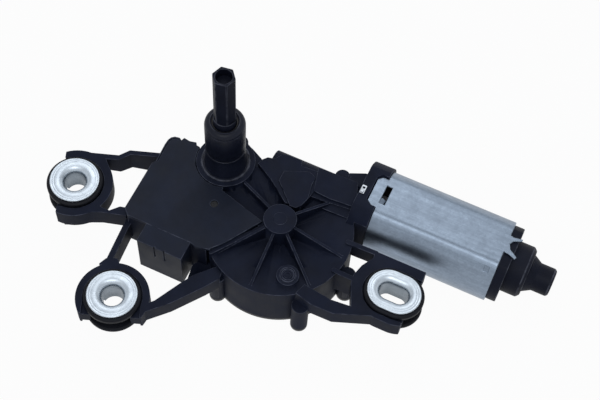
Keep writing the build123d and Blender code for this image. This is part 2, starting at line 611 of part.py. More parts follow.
def screw(spot):
    """A countersunk screw whose head lies flush in the base cover."""
    sink = SCREW_RADIUS
    head = Pos(spot[0], spot[1], REST_Z) * Cone(2 * SCREW_RADIUS, SCREW_RADIUS, sink, align=MINZ)
    return head + disc(spot, SCREW_RADIUS, REST_Z + sink, SCREW_TOP)


def base_screws():
    """The five equal screws of the base cover, each with a cross recess."""
    long, narrow, depth = 2.4 * SCREW_RADIUS, 0.8, 1.6
    cut = Box(long, narrow, depth) + Box(narrow, long, depth)
    return group(*[screw(s) - Pos(s[0], s[1], REST_Z) * cut for s in SCREW_SPOTS])


def electronics_lid():
    """The flat lid of the electronics tray, round the tower collar and up to the hub."""
    lid = prism(LID, COVER_Z, COVER_Z + LID_THICKNESS)
    lid -= disc((0, 0), COLLAR_RADIUS + LID_GAP, -DEEP, DEEP)
    lid -= disc(WHEEL_CENTRE, HUB_RADIUS + LID_GAP, -DEEP, DEEP)
    lid -= disc(LID_SCREW, 1.5 * LID_SCREW_RADIUS + 2 * FIT, -DEEP, DEEP)
    top = COVER_Z + LID_THICKNESS
    return lid - rib_room() - wall(LID_GROOVE, LID_GROOVE_WIDTH, top - LID_GROOVE_DEPTH, DEEP)


def rib_room():
    """Room for the first rib where it passes the edge of the lid."""
    room = Pos(DRUM_RADIUS / 2, 0, 0) * Box(DRUM_RADIUS, RIB_WIDTH + 1.5 * LID_GAP, DEEP)
    return Pos(WHEEL_CENTRE[0], WHEEL_CENTRE[1], 0) * Rot(0, 0, RIB_ANGLES[0]) * room


def lid_screw():
    """The single screw of the lid."""
    top = COVER_Z + 1.2
    body = disc(LID_SCREW, LID_SCREW_RADIUS, LID_SCREW_LOW + 0.4, COVER_Z)
    body += disc(LID_SCREW, 1.5 * LID_SCREW_RADIUS, COVER_Z, top)
    return body - Pos(LID_SCREW[0], LID_SCREW[1], top) * Box(2.2 * LID_SCREW_RADIUS, 0.6, 1.0)


def drum_plug():
    """The stepped plug on the dished roof."""
    plug = disc(PLUG_SPOT, PLUG_BORE, CAVITY_TOP, PLUG_TOP)
    plug -= disc(PLUG_SPOT, PLUG_BORE - 1.2, PLUG_TOP - 1.2, PLUG_TOP + 1)
    return plug + disc(PLUG_SPOT, PLUG_BORE - 2.8, PLUG_TOP - 1.4, PLUG_TOP - 0.6)


def connector_shroud():
    """The connector housing, open below, with two key grooves on its front wall."""
    x, y = (PLUG_LEFT, PLUG_RIGHT), (PLUG_FRONT, PLUG_BACK)
    body = block(x, y, (PLUG_LOW, COVER_Z + LID_THICKNESS))
    inside = [(low + PLUG_WALL, high - PLUG_WALL) for low, high in (x, y)]
    hollow = block(*inside, (PLUG_LOW - 1, PLUG_FLOOR))
    body -= hollow + pin_window()
    middle = (x[0] + x[1]) / 2
    for shift in (-2.6, 2.6):
        body -= block((middle + shift - 0.4, middle + shift + 0.4), (y[0] - 1, y[0] + 0.6), (-9, 5))
    for n in range(PINS):
        body -= block(*pin_column(n))
    return body


def pin_column(n):
    """The three (low, high) ranges of the upright part of one connector pin."""
    x = PLUG_LEFT + 5.4 + n * (PLUG_RIGHT - PLUG_LEFT - 10.8) / (PINS - 1)
    y = (PLUG_FRONT + PLUG_BACK) / 2
    half, deep = PIN_WIDTH / 2, PIN_DEPTH / 2
    return (x - half, x + half), (y - deep, y + deep), (PIN_LOW, PIN_HIGH + 0.4)


def connector_pins():
    """The bent pins from the connector mouth over the tray wall down to the circuit board."""
    pins = []
    for n in range(PINS):
        x, y, z = pin_column(n)
        pin = block(x, y, z) + block(x, (y[0], BOARD[1][0] + 3), (PIN_HIGH - PIN_DEPTH, PIN_HIGH))
        foot = (BOARD[1][0] + 3 - PIN_DEPTH, BOARD[1][0] + 3)
        pins.append(pin + block(x, foot, (BOARD_TOP, PIN_HIGH)))
    return group(*pins)


def circuit_board():
    """The circuit board on its four posts."""
    return block(*BOARD, (BOARD_Z, BOARD_TOP))


def relay():
    """The relay that switches the motor."""
    body = block((-26.5, -14.5), (-36.0, -24.5), (BOARD_TOP, BOARD_TOP + 11.0))
    return fillet(body.edges().filter_by(Axis.Z), 1.0)


def capacitors():
    """Two standing capacitors with a press line round the can."""
    cans, radius, line = [], 4.0, BOARD_TOP + 1.4
    for spot in ((-10.0, -27.5), (-10.0, -37.0)):
        can = disc(spot, radius, BOARD_TOP, BOARD_TOP + 11.0)
        groove = disc(spot, radius + 1, line, line + 0.6) - disc(spot, radius - 0.3, line, line + 0.6)
        cans.append(can - groove)
    return group(*cans)


def suppressor_coils():
    """Two wound coils lying on the board."""
    coils, radius, length = [], 2.2, 4.6
    for y in (-38.6, -33.0):
        lying = Pos(-2.4, y, BOARD_TOP + radius) * Rot(90, 0, 0)
        coils.append(lying * (Cylinder(radius, length) - Cylinder(1.0, length + 1)))
    return group(*coils)


def control_chip():
    """The flat driver chip."""
    return block((-26.0, -18.0), (-43.0, -38.6), (BOARD_TOP, BOARD_TOP + 1.8))


def earth_clip():
    """The small bright clip on top of the motor flange."""
    low = MOTOR_Z + CAN_HALF + FLANGE_LIP
    x, y = (FLANGE_START + 0.4, FLANGE_START + 2.8), (MOTOR_Y - 5.4, MOTOR_Y - 0.6)
    clip = block(x, y, (low, low + 0.6))
    clip += block((x[0] + 0.5, x[1] - 0.5), (y[0] + 0.4, y[0] + 2.0), (low, low + 1.2))
    return clip - disc(((x[0] + x[1]) / 2, y[1] - 1.4), 0.6, low - 1, low + 2)


# Eyes
def grommet(centre, half, flange, tube, top):
    """A rubber ring with a bead above and below the groove that grips the fork."""
    bead, groove = flange + BEAD_OVERHANG, flange - GROOVE_DEPTH
    under = top - FLANGE_THICKNESS
    bottom = top - SLEEVE_LENGTH + GROMMET_LIFT
    beads = []
    for low, high in ((under - SEAT_DEPTH, under), (bottom, bottom + SEAT_DEPTH - GROMMET_LIFT)):
        ring = stadium(centre, half, bead, low, high)
        beads.append(fillet(ring.edges().group_by(Axis.Z)[-1] + ring.edges().group_by(Axis.Z)[0], BEAD_ROUND))
    body = beads[0] + beads[1] + stadium(centre, half, groove, bottom, under)
    body -= stadium(centre, half, tube, bottom - 1, top + 1)
    return fillet(round_edges(body, centre, half, tube, under), FUNNEL_ROUND + 0.1)


def sleeve(centre, half, flange, tube, bore, top):
    """A flanged sleeve with a funnel mouth and the short seam notch of a rolled tube."""
    under = top - FLANGE_THICKNESS
    body = stadium(centre, half, flange, under, top)
    body += stadium(centre, half, tube, top - SLEEVE_LENGTH, top)
    body -= stadium(centre, half, bore, top - SLEEVE_LENGTH - 1, top + 1)
    body = fillet(round_edges(body, centre, half, tube, under), FUNNEL_ROUND)
    body = fillet(round_edges(body, centre, half, bore, top), FUNNEL_ROUND + tube - bore)
    notch = Box(NOTCH_DEPTH, NOTCH_WIDTH, 2 * NOTCH_WIDTH)
    return body - Pos(centre[0] - half - tube, centre[1], top - SLEEVE_LENGTH) * notch


def round_edges(body, centre, half, radius, height):
    """The edges of a body that follow one stadium outline at one height."""
    found = []
    for edge in body.edges():
        middle, end = edge @ 0.5, edge @ 0
        across = hypot(max(abs(middle.X - centre[0]) - half, 0), middle.Y - centre[1])
        level = abs(middle.Z - height) < 0.01 and abs(end.Z - height) < 0.01
        if level and abs(across - radius) < 0.01:
            found.append(edge)
    return found


# Tower and output
def tower_sleeve():
    """The tower with its foot, rounded rim and the recess the drive hexagon comes out of."""
    body = disc((0, 0), TOWER_RADIUS, -FOOT_SINK, TOWER_HEIGHT)
    body = fillet(body.edges().group_by(Axis.Z)[-1], RIM_ROUND)
    body += disc((0, 0), FOOT_RADIUS, -FOOT_SINK, FOOT_HEIGHT)
    body += Pos(0, 0, FOOT_HEIGHT) * Cone(FOOT_RADIUS - 1, TOWER_RADIUS, CONE_HEIGHT, align=MINZ)
    return body - disc((0, 0), TOWER_BORE, -DEEP, DEEP)


def spindle_hole():
    """The running hole of the spindle."""
    return disc((0, 0), SPINDLE_RADIUS + FIT, -DEEP, DEEP)


def lower_bush():
    """The bush in the gearbox roof."""
    return disc((0, 0), TOWER_BORE, BOSS_LOW, BOSS_LOW + LOWER_BUSH) - spindle_hole()


def upper_bush():
    """The bush near the top of the tower."""
    top = HEX_LOW - SEAL_HEIGHT - 0.2
    return disc((0, 0), TOWER_BORE, top - UPPER_BUSH, top) - spindle_hole()


def spindle_seal():
    """The seal that sits on the upper bush and rises round the foot of the hexagon."""
    high = HEX_LOW - 0.2
    ring = disc((0, 0), TOWER_BORE, high - SEAL_HEIGHT, TOWER_HEIGHT - SEAL_SINK) - spindle_hole()
    return ring - disc((0, 0), SKIRT_RADIUS + 3 * FIT, high, DEEP)


def output_spindle():
    """The output spindle, reduced inside the drive hexagon and below for the pinion."""
    shaft = disc((0, 0), SPINDLE_RADIUS, LINK_HIGH + 0.2, HEX_LOW)
    shaft += disc((0, 0), SPINDLE_NECK, HEX_LOW, SPINDLE_TOP)
    return shaft + disc((0, 0), SPINDLE_NECK, LINK_LOW - 1.0, LINK_HIGH + 0.2)


def hex_drive():
    """The drive hexagon pressed over the spindle end, with a round foot and a blind socket."""
    face = RegularPolygon(HEX_FLATS / 2, 6, major_radius=False, rotation=30)
    body = Pos(0, 0, HEX_LOW) * Rot(0, 0, HEX_TURN) * extrude(face, HEX_LENGTH)
    body = body & disc((0, 0), HEX_FLATS / 2 * HEX_CORNERS, HEX_LOW, HEX_TOP)
    body += disc((0, 0), SKIRT_RADIUS, HEX_LOW, TOWER_HEIGHT + SKIRT_RISE)
    body -= disc((0, 0), SPINDLE_NECK, HEX_LOW - 1, SPINDLE_TOP)
    return body - disc((0, 0), NOZZLE_RADIUS, HEX_TOP - NOZZLE_DEPTH, HEX_TOP + 1)


def pinion():
    """The pinion on the lower end of the spindle, one tooth on the line to the link pivot."""
    outline = Polygon(*gear_outline(PINION_TEETH, 0.3))
    teeth = Pos(0, 0, LINK_LOW) * Rot(0, 0, GUIDE_ANGLE) * extrude(outline, LINK_HIGH - LINK_LOW)
    return teeth - disc((0, 0), SPINDLE_NECK, -DEEP, DEEP)


def spindle_clip():
    """The ring that carries the spindle on the lower bush."""
    ring = disc((0, 0), SPINDLE_RADIUS + 2, BOSS_LOW - 1.1, BOSS_LOW - 0.1)
    return ring - disc((0, 0), SPINDLE_RADIUS, -DEEP, DEEP) - block((0, DEEP), (-1.2, 1.2), (-DEEP, DEEP))


# Link work
def guide_link():
    """The link that holds the sector pivot at a fixed distance from the spindle."""
    low, high = LINK_HIGH + 0.4, WHEEL_LOW - 1.6
    body = link_plate((0, 0), SPINDLE_RADIUS + 3, PIVOT, 2 * PIVOT_RADIUS, low, high)
    return body - spindle_hole() - disc(PIVOT, PIVOT_RADIUS, -DEEP, DEEP)


def pivot_pin():
    """The rivet through guide link and sector link."""
    head = disc(PIVOT, PIVOT_RADIUS + 1.1, LINK_LOW - 1.2, LINK_LOW - 0.4)
    return head + disc(PIVOT, PIVOT_RADIUS, LINK_LOW - 0.4, WHEEL_LOW - 1.6)


def sector_link():
    """The connecting link: toothed sector at the pivot, eye at the crank pin."""
    turn = GUIDE_ANGLE + 180 + 180 / SECTOR_TEETH
    teeth = Rot(0, 0, turn) * extrude(Polygon(*gear_outline(SECTOR_TEETH, 0.3)), LINK_THICKNESS)
    reach, spread = 2 * SECTOR_RADIUS, 3 * 360 / SECTOR_TEETH
    wedge = [(0, 0)] + [polar(reach, GUIDE_ANGLE + 180 + spread * n / 2) for n in range(-2, 3)]
    sector = teeth & prism(wedge, 0, LINK_THICKNESS)
    body = Pos(PIVOT[0], PIVOT[1], LINK_LOW) * sector
    body += link_plate(PIVOT, 6.5, CRANK_PIN, CRANK_PIN_RADIUS + 2, LINK_LOW, LINK_HIGH)
    body -= disc(PIVOT, PIVOT_RADIUS + FIT, -DEEP, DEEP)
    return body - disc(CRANK_PIN, CRANK_PIN_RADIUS, -DEEP, DEEP)


def crank_pin():
    """The pin in the far eye of the sector link, just clear of the crank boss of the wheel."""
    return disc(CRANK_PIN, CRANK_PIN_RADIUS, LINK_LOW, WHEEL_LOW - 1.1)


def wheel_axle():
    """The fixed axle of the worm wheel, headed in the recess below the wheel."""
    head = disc(WHEEL_CENTRE, AXLE_RADIUS + 1.4, WHEEL_LOW + 0.1, WHEEL_LOW + 1.4)
    return head + disc(WHEEL_CENTRE, AXLE_RADIUS, WHEEL_LOW + 1.4, HUB_TOP - HUB_ROOF)


def wheel_washer():
    """The thrust washer between wheel hub and roof."""
    ring = disc(WHEEL_CENTRE, AXLE_RADIUS + 2.8, WHEEL_HIGH + 0.1, CAVITY_TOP - WASHER_GAP)
    return ring - disc(WHEEL_CENTRE, AXLE_RADIUS, -DEEP, DEEP)


# Motor
def can_tab(side, grow, reach):
    """The tongue with cut corners that reaches from the open end of the can over the flange."""
    low, high = sorted((MOTOR_Z + side * (CAN_HALF - CAN_WALL), MOTOR_Z + side * (CAN_HALF + reach)))
    left, right = CAN_START - TAB_LENGTH - grow, CAN_START + 1
    front, back = MOTOR_Y - TAB_HALF - grow, MOTOR_Y + TAB_HALF + grow
    corner = TAB_HALF / 4
    outline = [
        (left, front + corner), (left + 1.4 * corner, front), (right, front), (right, back),
        (left + corner, back), (left, back - corner),
    ]
    return prism(outline, low, high)


def crimp_prongs(low, high):
    """The two splayed fingers that hold the end cap, like a fish tail."""
    ends = [
        (-1.0, 6.4), (1.6, 5.6), (6.2, 6.4), (6.0, 5.2), (2.2, 3.4), (1.2, 1.6), (2.4, -1.2),
        (6.6, -4.0), (5.9, -5.2), (2.0, -3.8), (-1.0, -3.6),
    ]
    return prism([(CAN_END + x, MOTOR_Y + y) for x, y in ends], low, high)


def motor_can():
    """The drawn steel can with a tongue, slot and crimp prongs on both flats."""
    body = motor_flat(CAN_START, CAN_END, 0, CAN_EDGE)
    body -= motor_flat(CAN_START - 1, CAN_END - CAN_WALL, CAN_WALL, CAN_EDGE - CAN_WALL)
    body -= motor_round(CAN_END - 2 * CAN_WALL, CAN_END + 1, CAP_SPIGOT)
    slot = (CAN_START + 0.6, CAN_START + 3.5), (MOTOR_Y - 5.4, MOTOR_Y + 5.0)
    for side in (1, -1):
        low, high = sorted((MOTOR_Z + side * (CAN_HALF - CAN_WALL), MOTOR_Z + side * CAN_HALF))
        body += can_tab(side, 0, 0) + crimp_prongs(low, high)
        body -= block(*slot, (low - 1, high + 1))
    at = Pos(CAN_END - DIMPLE_SET_BACK, MOTOR_Y, MOTOR_Z) * Rot(45, 0, 0) * Pos(0, 0, CAN_RADIUS)
    return body - at * Box(2.4, 2.8, 1.2)


def end_cap():
    """The moulded end cap with spigot, bearing boss and the small thrust boss."""
    boss_end = CAN_END + CAP_PLATE + CAP_BOSS
    body = motor_round(CAN_END + CAP_PLATE, boss_end, CAP_BOSS_RADIUS)
    body = chamfer(body.edges().filter_by(GeomType.CIRCLE).group_by(Axis.X)[-1], 1.6)
    body += motor_round(CAN_END - CAN_WALL, CAN_END, CAP_SPIGOT)
    body += motor_flat(CAN_END, CAN_END + CAP_PLATE, CAN_WALL, CAN_EDGE - CAN_WALL)
    nose = motor_round(boss_end - 1, MOTOR_END, CAP_NOSE_RADIUS)
    body += chamfer(nose.edges().filter_by(GeomType.CIRCLE).group_by(Axis.X)[-1], 1.0)
    neck = Cone(CAP_NOSE_RADIUS + 2.4, CAP_NOSE_RADIUS, CAP_NOSE / 3, align=MINZ)
    body += Pos(boss_end, MOTOR_Y, MOTOR_Z) * Rot(0, 90, 0) * neck
    body -= motor_round(CAN_END - 2 * CAN_WALL, REAR_BUSH_END, REAR_BUSH_RADIUS)
    return body - motor_round(CAN_END, MOTOR_END - WALL, SHAFT_RADIUS + PAD_ROOM)


def shaft_hole():
    """The running hole of the armature shaft."""
    return motor_round(TUNNEL_START - 1, MOTOR_END + 1, SHAFT_RADIUS + FIT)


def armature_shaft():
    """The armature shaft with its worm."""
    thread = worm_thread()
    core = motor_round(WORM_START - 1.5, WORM_END + 1.5, WORM_PITCH_RADIUS - 1.25 * MODULE)
    shaft = motor_round(NOSE_START + 0.6, WORM_START - 1.5, SHAFT_RADIUS)
    shaft += motor_round(WORM_END + 1.5, PAD_START - 0.1, SHAFT_RADIUS)
    return core + shaft + thread


def nose_bush():
    """The bush at the far end of the worm."""
    return motor_round(NOSE_START, NOSE_START + 3.6, TUNNEL_BORE) - shaft_hole()


def front_bush():
    """The bush between worm and commutator."""
    return motor_round(RECESS_START - 10, RECESS_START - 2, FRONT_BUSH_RADIUS) - shaft_hole()


def rear_bush():
    """The bush in the end cap."""
    return motor_round(CAN_END + 2, REAR_BUSH_END, REAR_BUSH_RADIUS) - shaft_hole()


def thrust_pad():
    """The pad that takes the end thrust of the shaft in the end cap."""
    return motor_round(PAD_START, MOTOR_END - WALL, SHAFT_RADIUS + PAD_ROOM)


def slot_bar(radius_in, radius_out, width, start, end):
    """One radial bar on the motor axis, pointing up."""
    sideways = (MOTOR_Y - width / 2, MOTOR_Y + width / 2)
    return block((start, end), sideways, (MOTOR_Z + radius_in, MOTOR_Z + radius_out))


def round_motor(shape, n, count):
    """A copy of a shape turned about the motor axis."""
    return Pos(0, MOTOR_Y, MOTOR_Z) * Rot(360 * n / count, 0, 0) * Pos(0, -MOTOR_Y, -MOTOR_Z) * shape


def lamination_stack():
    """The slotted armature core."""
    before, behind = STACK_START - 1, STACK_END + 1
    body = motor_round(STACK_START, STACK_END, STACK_RADIUS) - motor_round(before, behind, SHAFT_RADIUS)
    wide = slot_bar(SLOT_FLOOR, WINDING_RADIUS, SLOT_WIDTH, before, behind)
    mouth = slot_bar(WINDING_RADIUS - 0.4, STACK_RADIUS + 1, SLOT_WIDTH / 2, before, behind)
    return body - [round_motor(s, n, POLES) for n in range(POLES) for s in (wide, mouth)]


def windings():
    """The coils: a bar in every slot and an end turn ring on each side."""
    body = slot_bar(SLOT_FLOOR, WINDING_RADIUS, SLOT_WIDTH, STACK_START - 1, STACK_END + 1)
    coils = [round_motor(body, n, POLES) for n in range(POLES)]
    for start in (STACK_START - END_TURN, STACK_END):
        ring = motor_round(start, start + END_TURN, WINDING_RADIUS)
        coils.append(ring - motor_round(start - 1, start + END_TURN + 1, SLOT_FLOOR - 1))
    body = coils[0]
    for coil in coils[1:]:
        body += coil
    return body


def commutator():
    """The commutator with its bar gaps."""
    end = STACK_START - END_TURN
    body = motor_round(CARD_END + 2.1, end, COMMUTATOR_RADIUS) - motor_round(CARD_END, end + 1, SHAFT_RADIUS)
    gap = slot_bar(COMMUTATOR_RADIUS - 0.9, COMMUTATOR_RADIUS + 1, 0.5, CARD_END, end - 1.5)
    return body - [round_motor(gap, n + 0.5, POLES) for n in range(POLES)]


def sideways(side, inner, outer):
    """The Y range between two distances from the motor axis, on one side."""
    return sorted((MOTOR_Y + side * inner, MOTOR_Y + side * outer))


def brush_card():
    """The card that carries the brush boxes."""
    card = motor_flat(RECESS_START, CARD_END, CARD_INSET, FLANGE_EDGE)
    card -= motor_round(RECESS_START - 1, CARD_END + 1, COMMUTATOR_RADIUS - 1.8)
    for side in (1, -1):
        outer = sideways(side, COMMUTATOR_RADIUS + 1.2, BOX_REACH)
        card += block((CARD_END, BRUSH_SPAN[1] + 1.4), outer, (MOTOR_Z - 4.4, MOTOR_Z + 4.4))
        inner = sideways(side, COMMUTATOR_RADIUS - 1, BOX_REACH - 1.0)
        card -= block(BRUSH_SPAN, inner, (MOTOR_Z - BRUSH_HALF, MOTOR_Z + BRUSH_HALF))
    return card


def brushes():
    """The two carbon brushes."""
    pair = []
    for side in (1, -1):
        across = sideways(side, COMMUTATOR_RADIUS, BRUSH_BACK)
        body = block(BRUSH_SPAN, across, (MOTOR_Z - BRUSH_HALF, MOTOR_Z + BRUSH_HALF))
        pair.append(body - motor_round(CARD_END, STACK_START, COMMUTATOR_RADIUS + FIT))
    return group(*pair)


def brush_springs():
    """The springs that press the brushes, drawn as short coils of three rings."""
    ring = Rot(90, 0, 0) * Torus(1.9, SPRING_WIRE)
    places = [BRUSH_BACK + (2 * n + 1) * SPRING_WIRE for n in range(3)]
    middle = (BRUSH_SPAN[0] + BRUSH_SPAN[1]) / 2
    return group(*[Pos(middle, MOTOR_Y + side * y, MOTOR_Z) * ring for side in (1, -1) for y in places])


def choke_coils():
    """The two chokes on the brush card, above and below the commutator."""
    radius, length = 2.6, 11.2
    lift = CAN_HALF - CAN_WALL - radius - 2.5
    coil = Rot(0, 90, 0) * Cylinder(radius, length, align=MINZ)
    return group(*[Pos(CARD_END, MOTOR_Y, MOTOR_Z + side * lift) * coil for side in (1, -1)])


def magnet(side):
    """One arc magnet against the curved side of the can."""
    start, end = STACK_START - MAGNET_OVERHANG, STACK_END + MAGNET_OVERHANG
    ring = motor_round(start, end, CAN_RADIUS - CAN_WALL)
    ring -= motor_round(start - 1, end + 1, STACK_RADIUS + AIR_GAP)
    half = CAN_HALF - CAN_EDGE + 2.0
    across = sideways(side, FLAT_HALF + 0.3, DEEP)
    return ring & block((start, end), across, (MOTOR_Z - half, MOTOR_Z + half))


def magnet_clips():
    """The two flat springs that keep the magnets apart."""
    pair = []
    for side in (1, -1):
        inside = CAN_HALF - CAN_WALL
        upright = sorted((MOTOR_Z + side * (inside - CLIP_THICKNESS), MOTOR_Z + side * inside))
        across = (MOTOR_Y - FLAT_HALF + 0.6, MOTOR_Y + FLAT_HALF - 0.6)
        pair.append(block((STACK_START - 2, STACK_END + 2), across, upright))
    return group(*pair)


# Every node
ROUND = (SLEEVE_FLANGE, SLEEVE_TUBE)
PARTS = {
    "gear_housing": gear_housing,
    "base_cover": base_cover,
    "base_screws": base_screws,
    "electronics_lid": electronics_lid,
    "lid_screw": lid_screw,
    "drum_plug": drum_plug,
    "connector_shroud": connector_shroud,
    "connector_pins": connector_pins,
    "circuit_board": circuit_board,
    "relay": relay,
    "capacitors": capacitors,
    "suppressor_coils": suppressor_coils,
    "control_chip": control_chip,
    "earth_clip": earth_clip,
    "grommet_left": lambda: grommet(EYE_LEFT, 0, *ROUND, 0.0),
    "grommet_front": lambda: grommet(EYE_FRONT, 0, *ROUND, EYE_FRONT_Z),
    "grommet_slotted": lambda: grommet(EYE_SLOT, SLOT_HALF, SLOT_FLANGE, SLOT_TUBE, 0.0),
    "sleeve_left": lambda: sleeve(EYE_LEFT, 0, *ROUND, SLEEVE_BORE, 0.0),
    "sleeve_front": lambda: sleeve(EYE_FRONT, 0, *ROUND, SLEEVE_BORE, EYE_FRONT_Z),
    "sleeve_slotted": lambda: sleeve(EYE_SLOT, SLOT_HALF, SLOT_FLANGE, SLOT_TUBE, SLOT_BORE, 0.0),
    "tower_sleeve": tower_sleeve,
    "lower_bush": lower_bush,
    "upper_bush": upper_bush,
    "spindle_seal": spindle_seal,
    "output_spindle": output_spindle,
    "hex_drive": hex_drive,
    "pinion": pinion,
    "spindle_clip": spindle_clip,
    "guide_link": guide_link,
    "pivot_pin": pivot_pin,
    "sector_link": sector_link,
    "crank_pin": crank_pin,
    "worm_wheel": worm_wheel,
    "wheel_axle": wheel_axle,
    "wheel_washer": wheel_washer,
    "motor_can": motor_can,
    "end_cap": end_cap,
    "armature_shaft": armature_shaft,
    "nose_bush": nose_bush,
    "front_bush": front_bush,
    "rear_bush": rear_bush,
    "thrust_pad": thrust_pad,
    "lamination_stack": lamination_stack,
    "windings": windings,
    "commutator": commutator,
    "brush_card": brush_card,
    "brushes": brushes,
    "brush_springs": brush_springs,
    "choke_coils": choke_coils,
    "magnet_front": lambda: magnet(-1),
    "magnet_back": lambda: magnet(1),
    "magnet_clips": magnet_clips,
}


def main():
    """Build every node, move it to the exported origin and write it as a STEP file."""
    os.makedirs("parts", exist_ok=True)
    for name, make in PARTS.items():
        export_step(Pos(0, 0, -ORIGIN_Z) * make(), f"parts/{name}.step")


main()
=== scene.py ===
"""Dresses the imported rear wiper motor: finishes, moulded detail and a plain studio.

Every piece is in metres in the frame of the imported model: the output spindle stands on the Z axis,
the motor lies along X, and the origin is where the straight wall of the tower starts.
"""

from __future__ import annotations

import json
import logging
from dataclasses import dataclass
from enum import Enum
from math import cos, pi, radians, sin
from typing import Sequence

import bmesh
import bpy
from bpy.types import Material, Mesh, Node, NodeSocket, NodeTree, Object
from mathutils import Matrix, Vector

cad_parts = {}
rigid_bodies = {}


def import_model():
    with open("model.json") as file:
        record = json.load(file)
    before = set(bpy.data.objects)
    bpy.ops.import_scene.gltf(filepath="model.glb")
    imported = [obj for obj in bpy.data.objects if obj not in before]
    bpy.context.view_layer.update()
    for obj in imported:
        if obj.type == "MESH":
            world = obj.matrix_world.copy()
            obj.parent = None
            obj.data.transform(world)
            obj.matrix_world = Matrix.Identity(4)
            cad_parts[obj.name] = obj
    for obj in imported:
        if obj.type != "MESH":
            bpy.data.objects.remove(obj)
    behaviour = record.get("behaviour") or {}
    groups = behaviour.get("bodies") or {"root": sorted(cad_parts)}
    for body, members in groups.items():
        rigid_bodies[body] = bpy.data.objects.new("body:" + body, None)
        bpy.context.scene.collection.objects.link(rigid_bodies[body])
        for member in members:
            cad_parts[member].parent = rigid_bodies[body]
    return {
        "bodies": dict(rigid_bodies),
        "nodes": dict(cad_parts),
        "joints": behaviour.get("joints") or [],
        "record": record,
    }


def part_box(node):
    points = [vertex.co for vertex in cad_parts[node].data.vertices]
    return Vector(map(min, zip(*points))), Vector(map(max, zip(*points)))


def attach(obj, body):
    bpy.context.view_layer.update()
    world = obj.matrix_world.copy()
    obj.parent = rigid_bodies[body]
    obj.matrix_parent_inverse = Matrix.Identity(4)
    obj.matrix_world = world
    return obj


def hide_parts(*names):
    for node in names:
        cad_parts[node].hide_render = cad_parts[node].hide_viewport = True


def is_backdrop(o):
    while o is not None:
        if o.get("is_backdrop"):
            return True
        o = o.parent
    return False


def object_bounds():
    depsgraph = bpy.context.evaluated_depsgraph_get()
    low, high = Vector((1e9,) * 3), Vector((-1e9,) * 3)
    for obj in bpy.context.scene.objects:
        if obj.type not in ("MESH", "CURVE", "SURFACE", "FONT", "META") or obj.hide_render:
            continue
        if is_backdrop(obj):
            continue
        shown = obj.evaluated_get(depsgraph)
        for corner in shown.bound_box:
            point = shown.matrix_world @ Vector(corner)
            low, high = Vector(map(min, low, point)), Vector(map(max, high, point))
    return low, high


LOG = logging.getLogger("wiper_motor")
MM = 0.001

Colour = tuple[float, float, float]
Point = tuple[float, float]
Corner = tuple[float, float, float]
Sockets = bpy.types.bpy_prop_collection


class Grain(Enum):
    """The direction in which the marks of a metal finish run."""

    ALONG_MOTOR = (0.035, 1.0, 1.0)
    ALONG_SPINDLE = (1.0, 1.0, 0.05)
    NONE = (1.0, 1.0, 1.0)


# Building with nodes

# The sockets of a Mix node that blends colours, by number.
MIX_AMOUNT, MIX_COLOURS, MIX_RESULT = 0, (6, 7), 2

# The sockets of the node groups, each with its kind.
SIZE, AMOUNT, MASK = {"Size": "Float"}, {"Amount": "Float"}, {"Mask": "Float"}
SHAPE = {"Geometry": "Geometry"}


@dataclass
class Wiring:
    """Adds and links the nodes of one tree, which is of the kind Shader or Geometry."""

    tree: NodeTree
    kind: str = "Shader"

    def add(self, kind: str, **settings: object) -> Node:
        """Add one node.

        Args:
            kind: Blender's name of the node type, without the kind of the tree and the word Node.
            settings: Properties of the node to set.

        Returns:
            The new node.
        """
        node = self.tree.nodes.new(f"{self.kind}Node{kind}")
        for name, value in settings.items():
            setattr(node, name, value)
        return node

    def put(self, socket: NodeSocket, value: object) -> None:
        """Set or link one input.

        Args:
            socket: The input.
            value: An output, which is linked, or a value, which is set.
        """
        if isinstance(value, NodeSocket):
            self.tree.links.new(value, socket)
        else:
            socket.default_value = value

    def feed(self, node: Node, **values: object) -> Node:
        """Set or link the inputs of a node.

        Args:
            node: The node to feed.
            values: For each input, with its spaces written as underscores, an output or a value.

        Returns:
            The same node.
        """
        for name, value in values.items():
            self.put(node.inputs[name.replace("_", " ")], value)
        return node

    def math(self, operation: str, *values: object) -> NodeSocket:
        """Combine two or three values.

        Args:
            operation: Blender's name of the operation.
            values: Outputs or numbers.

        Returns:
            The result.
        """
        node = self.add("Math", operation=operation)
        for socket, value in zip(node.inputs, values):
            self.put(socket, value)
        return node.outputs[0]

    def noise(self, place: NodeSocket, scale: object, **values: float) -> NodeSocket:
        """Add a soft noise.

        Args:
            place: The position at which it is read.
            scale: The number of its patches in one metre, as an output or a number.
            values: Its other inputs.

        Returns:
            The noise.
        """
        return self.feed(self.add("TexNoise"), Vector=place, Scale=scale, **values).outputs[0]

    def ramp(self, value: NodeSocket, low: float, high: float) -> NodeSocket:
        """Stretch a value so that low becomes 0 and high becomes 1.

        Args:
            value: The value to stretch.
            low: The value that becomes 0.
            high: The value that becomes 1.

        Returns:
            The stretched value, kept between 0 and 1.
        """
        node = self.feed(self.add("MapRange"), Value=value, From_Min=low, From_Max=high)
        return node.outputs["Result"]

    def mix(self, amount: object, first: object, second: object) -> NodeSocket:
        """Blend two colours.

        Args:
            amount: The share of the second colour.
            first: An output or a colour.
            second: An output or a colour.

        Returns:
            The blended colour.
        """
        node = self.add("Mix", data_type="RGBA")
        self.put(node.inputs[MIX_AMOUNT], amount)
        for index, value in zip(MIX_COLOURS, (first, second)):
            self.put(node.inputs[index], (*value, 1.0) if isinstance(value, tuple) else value)
        return node.outputs[MIX_RESULT]


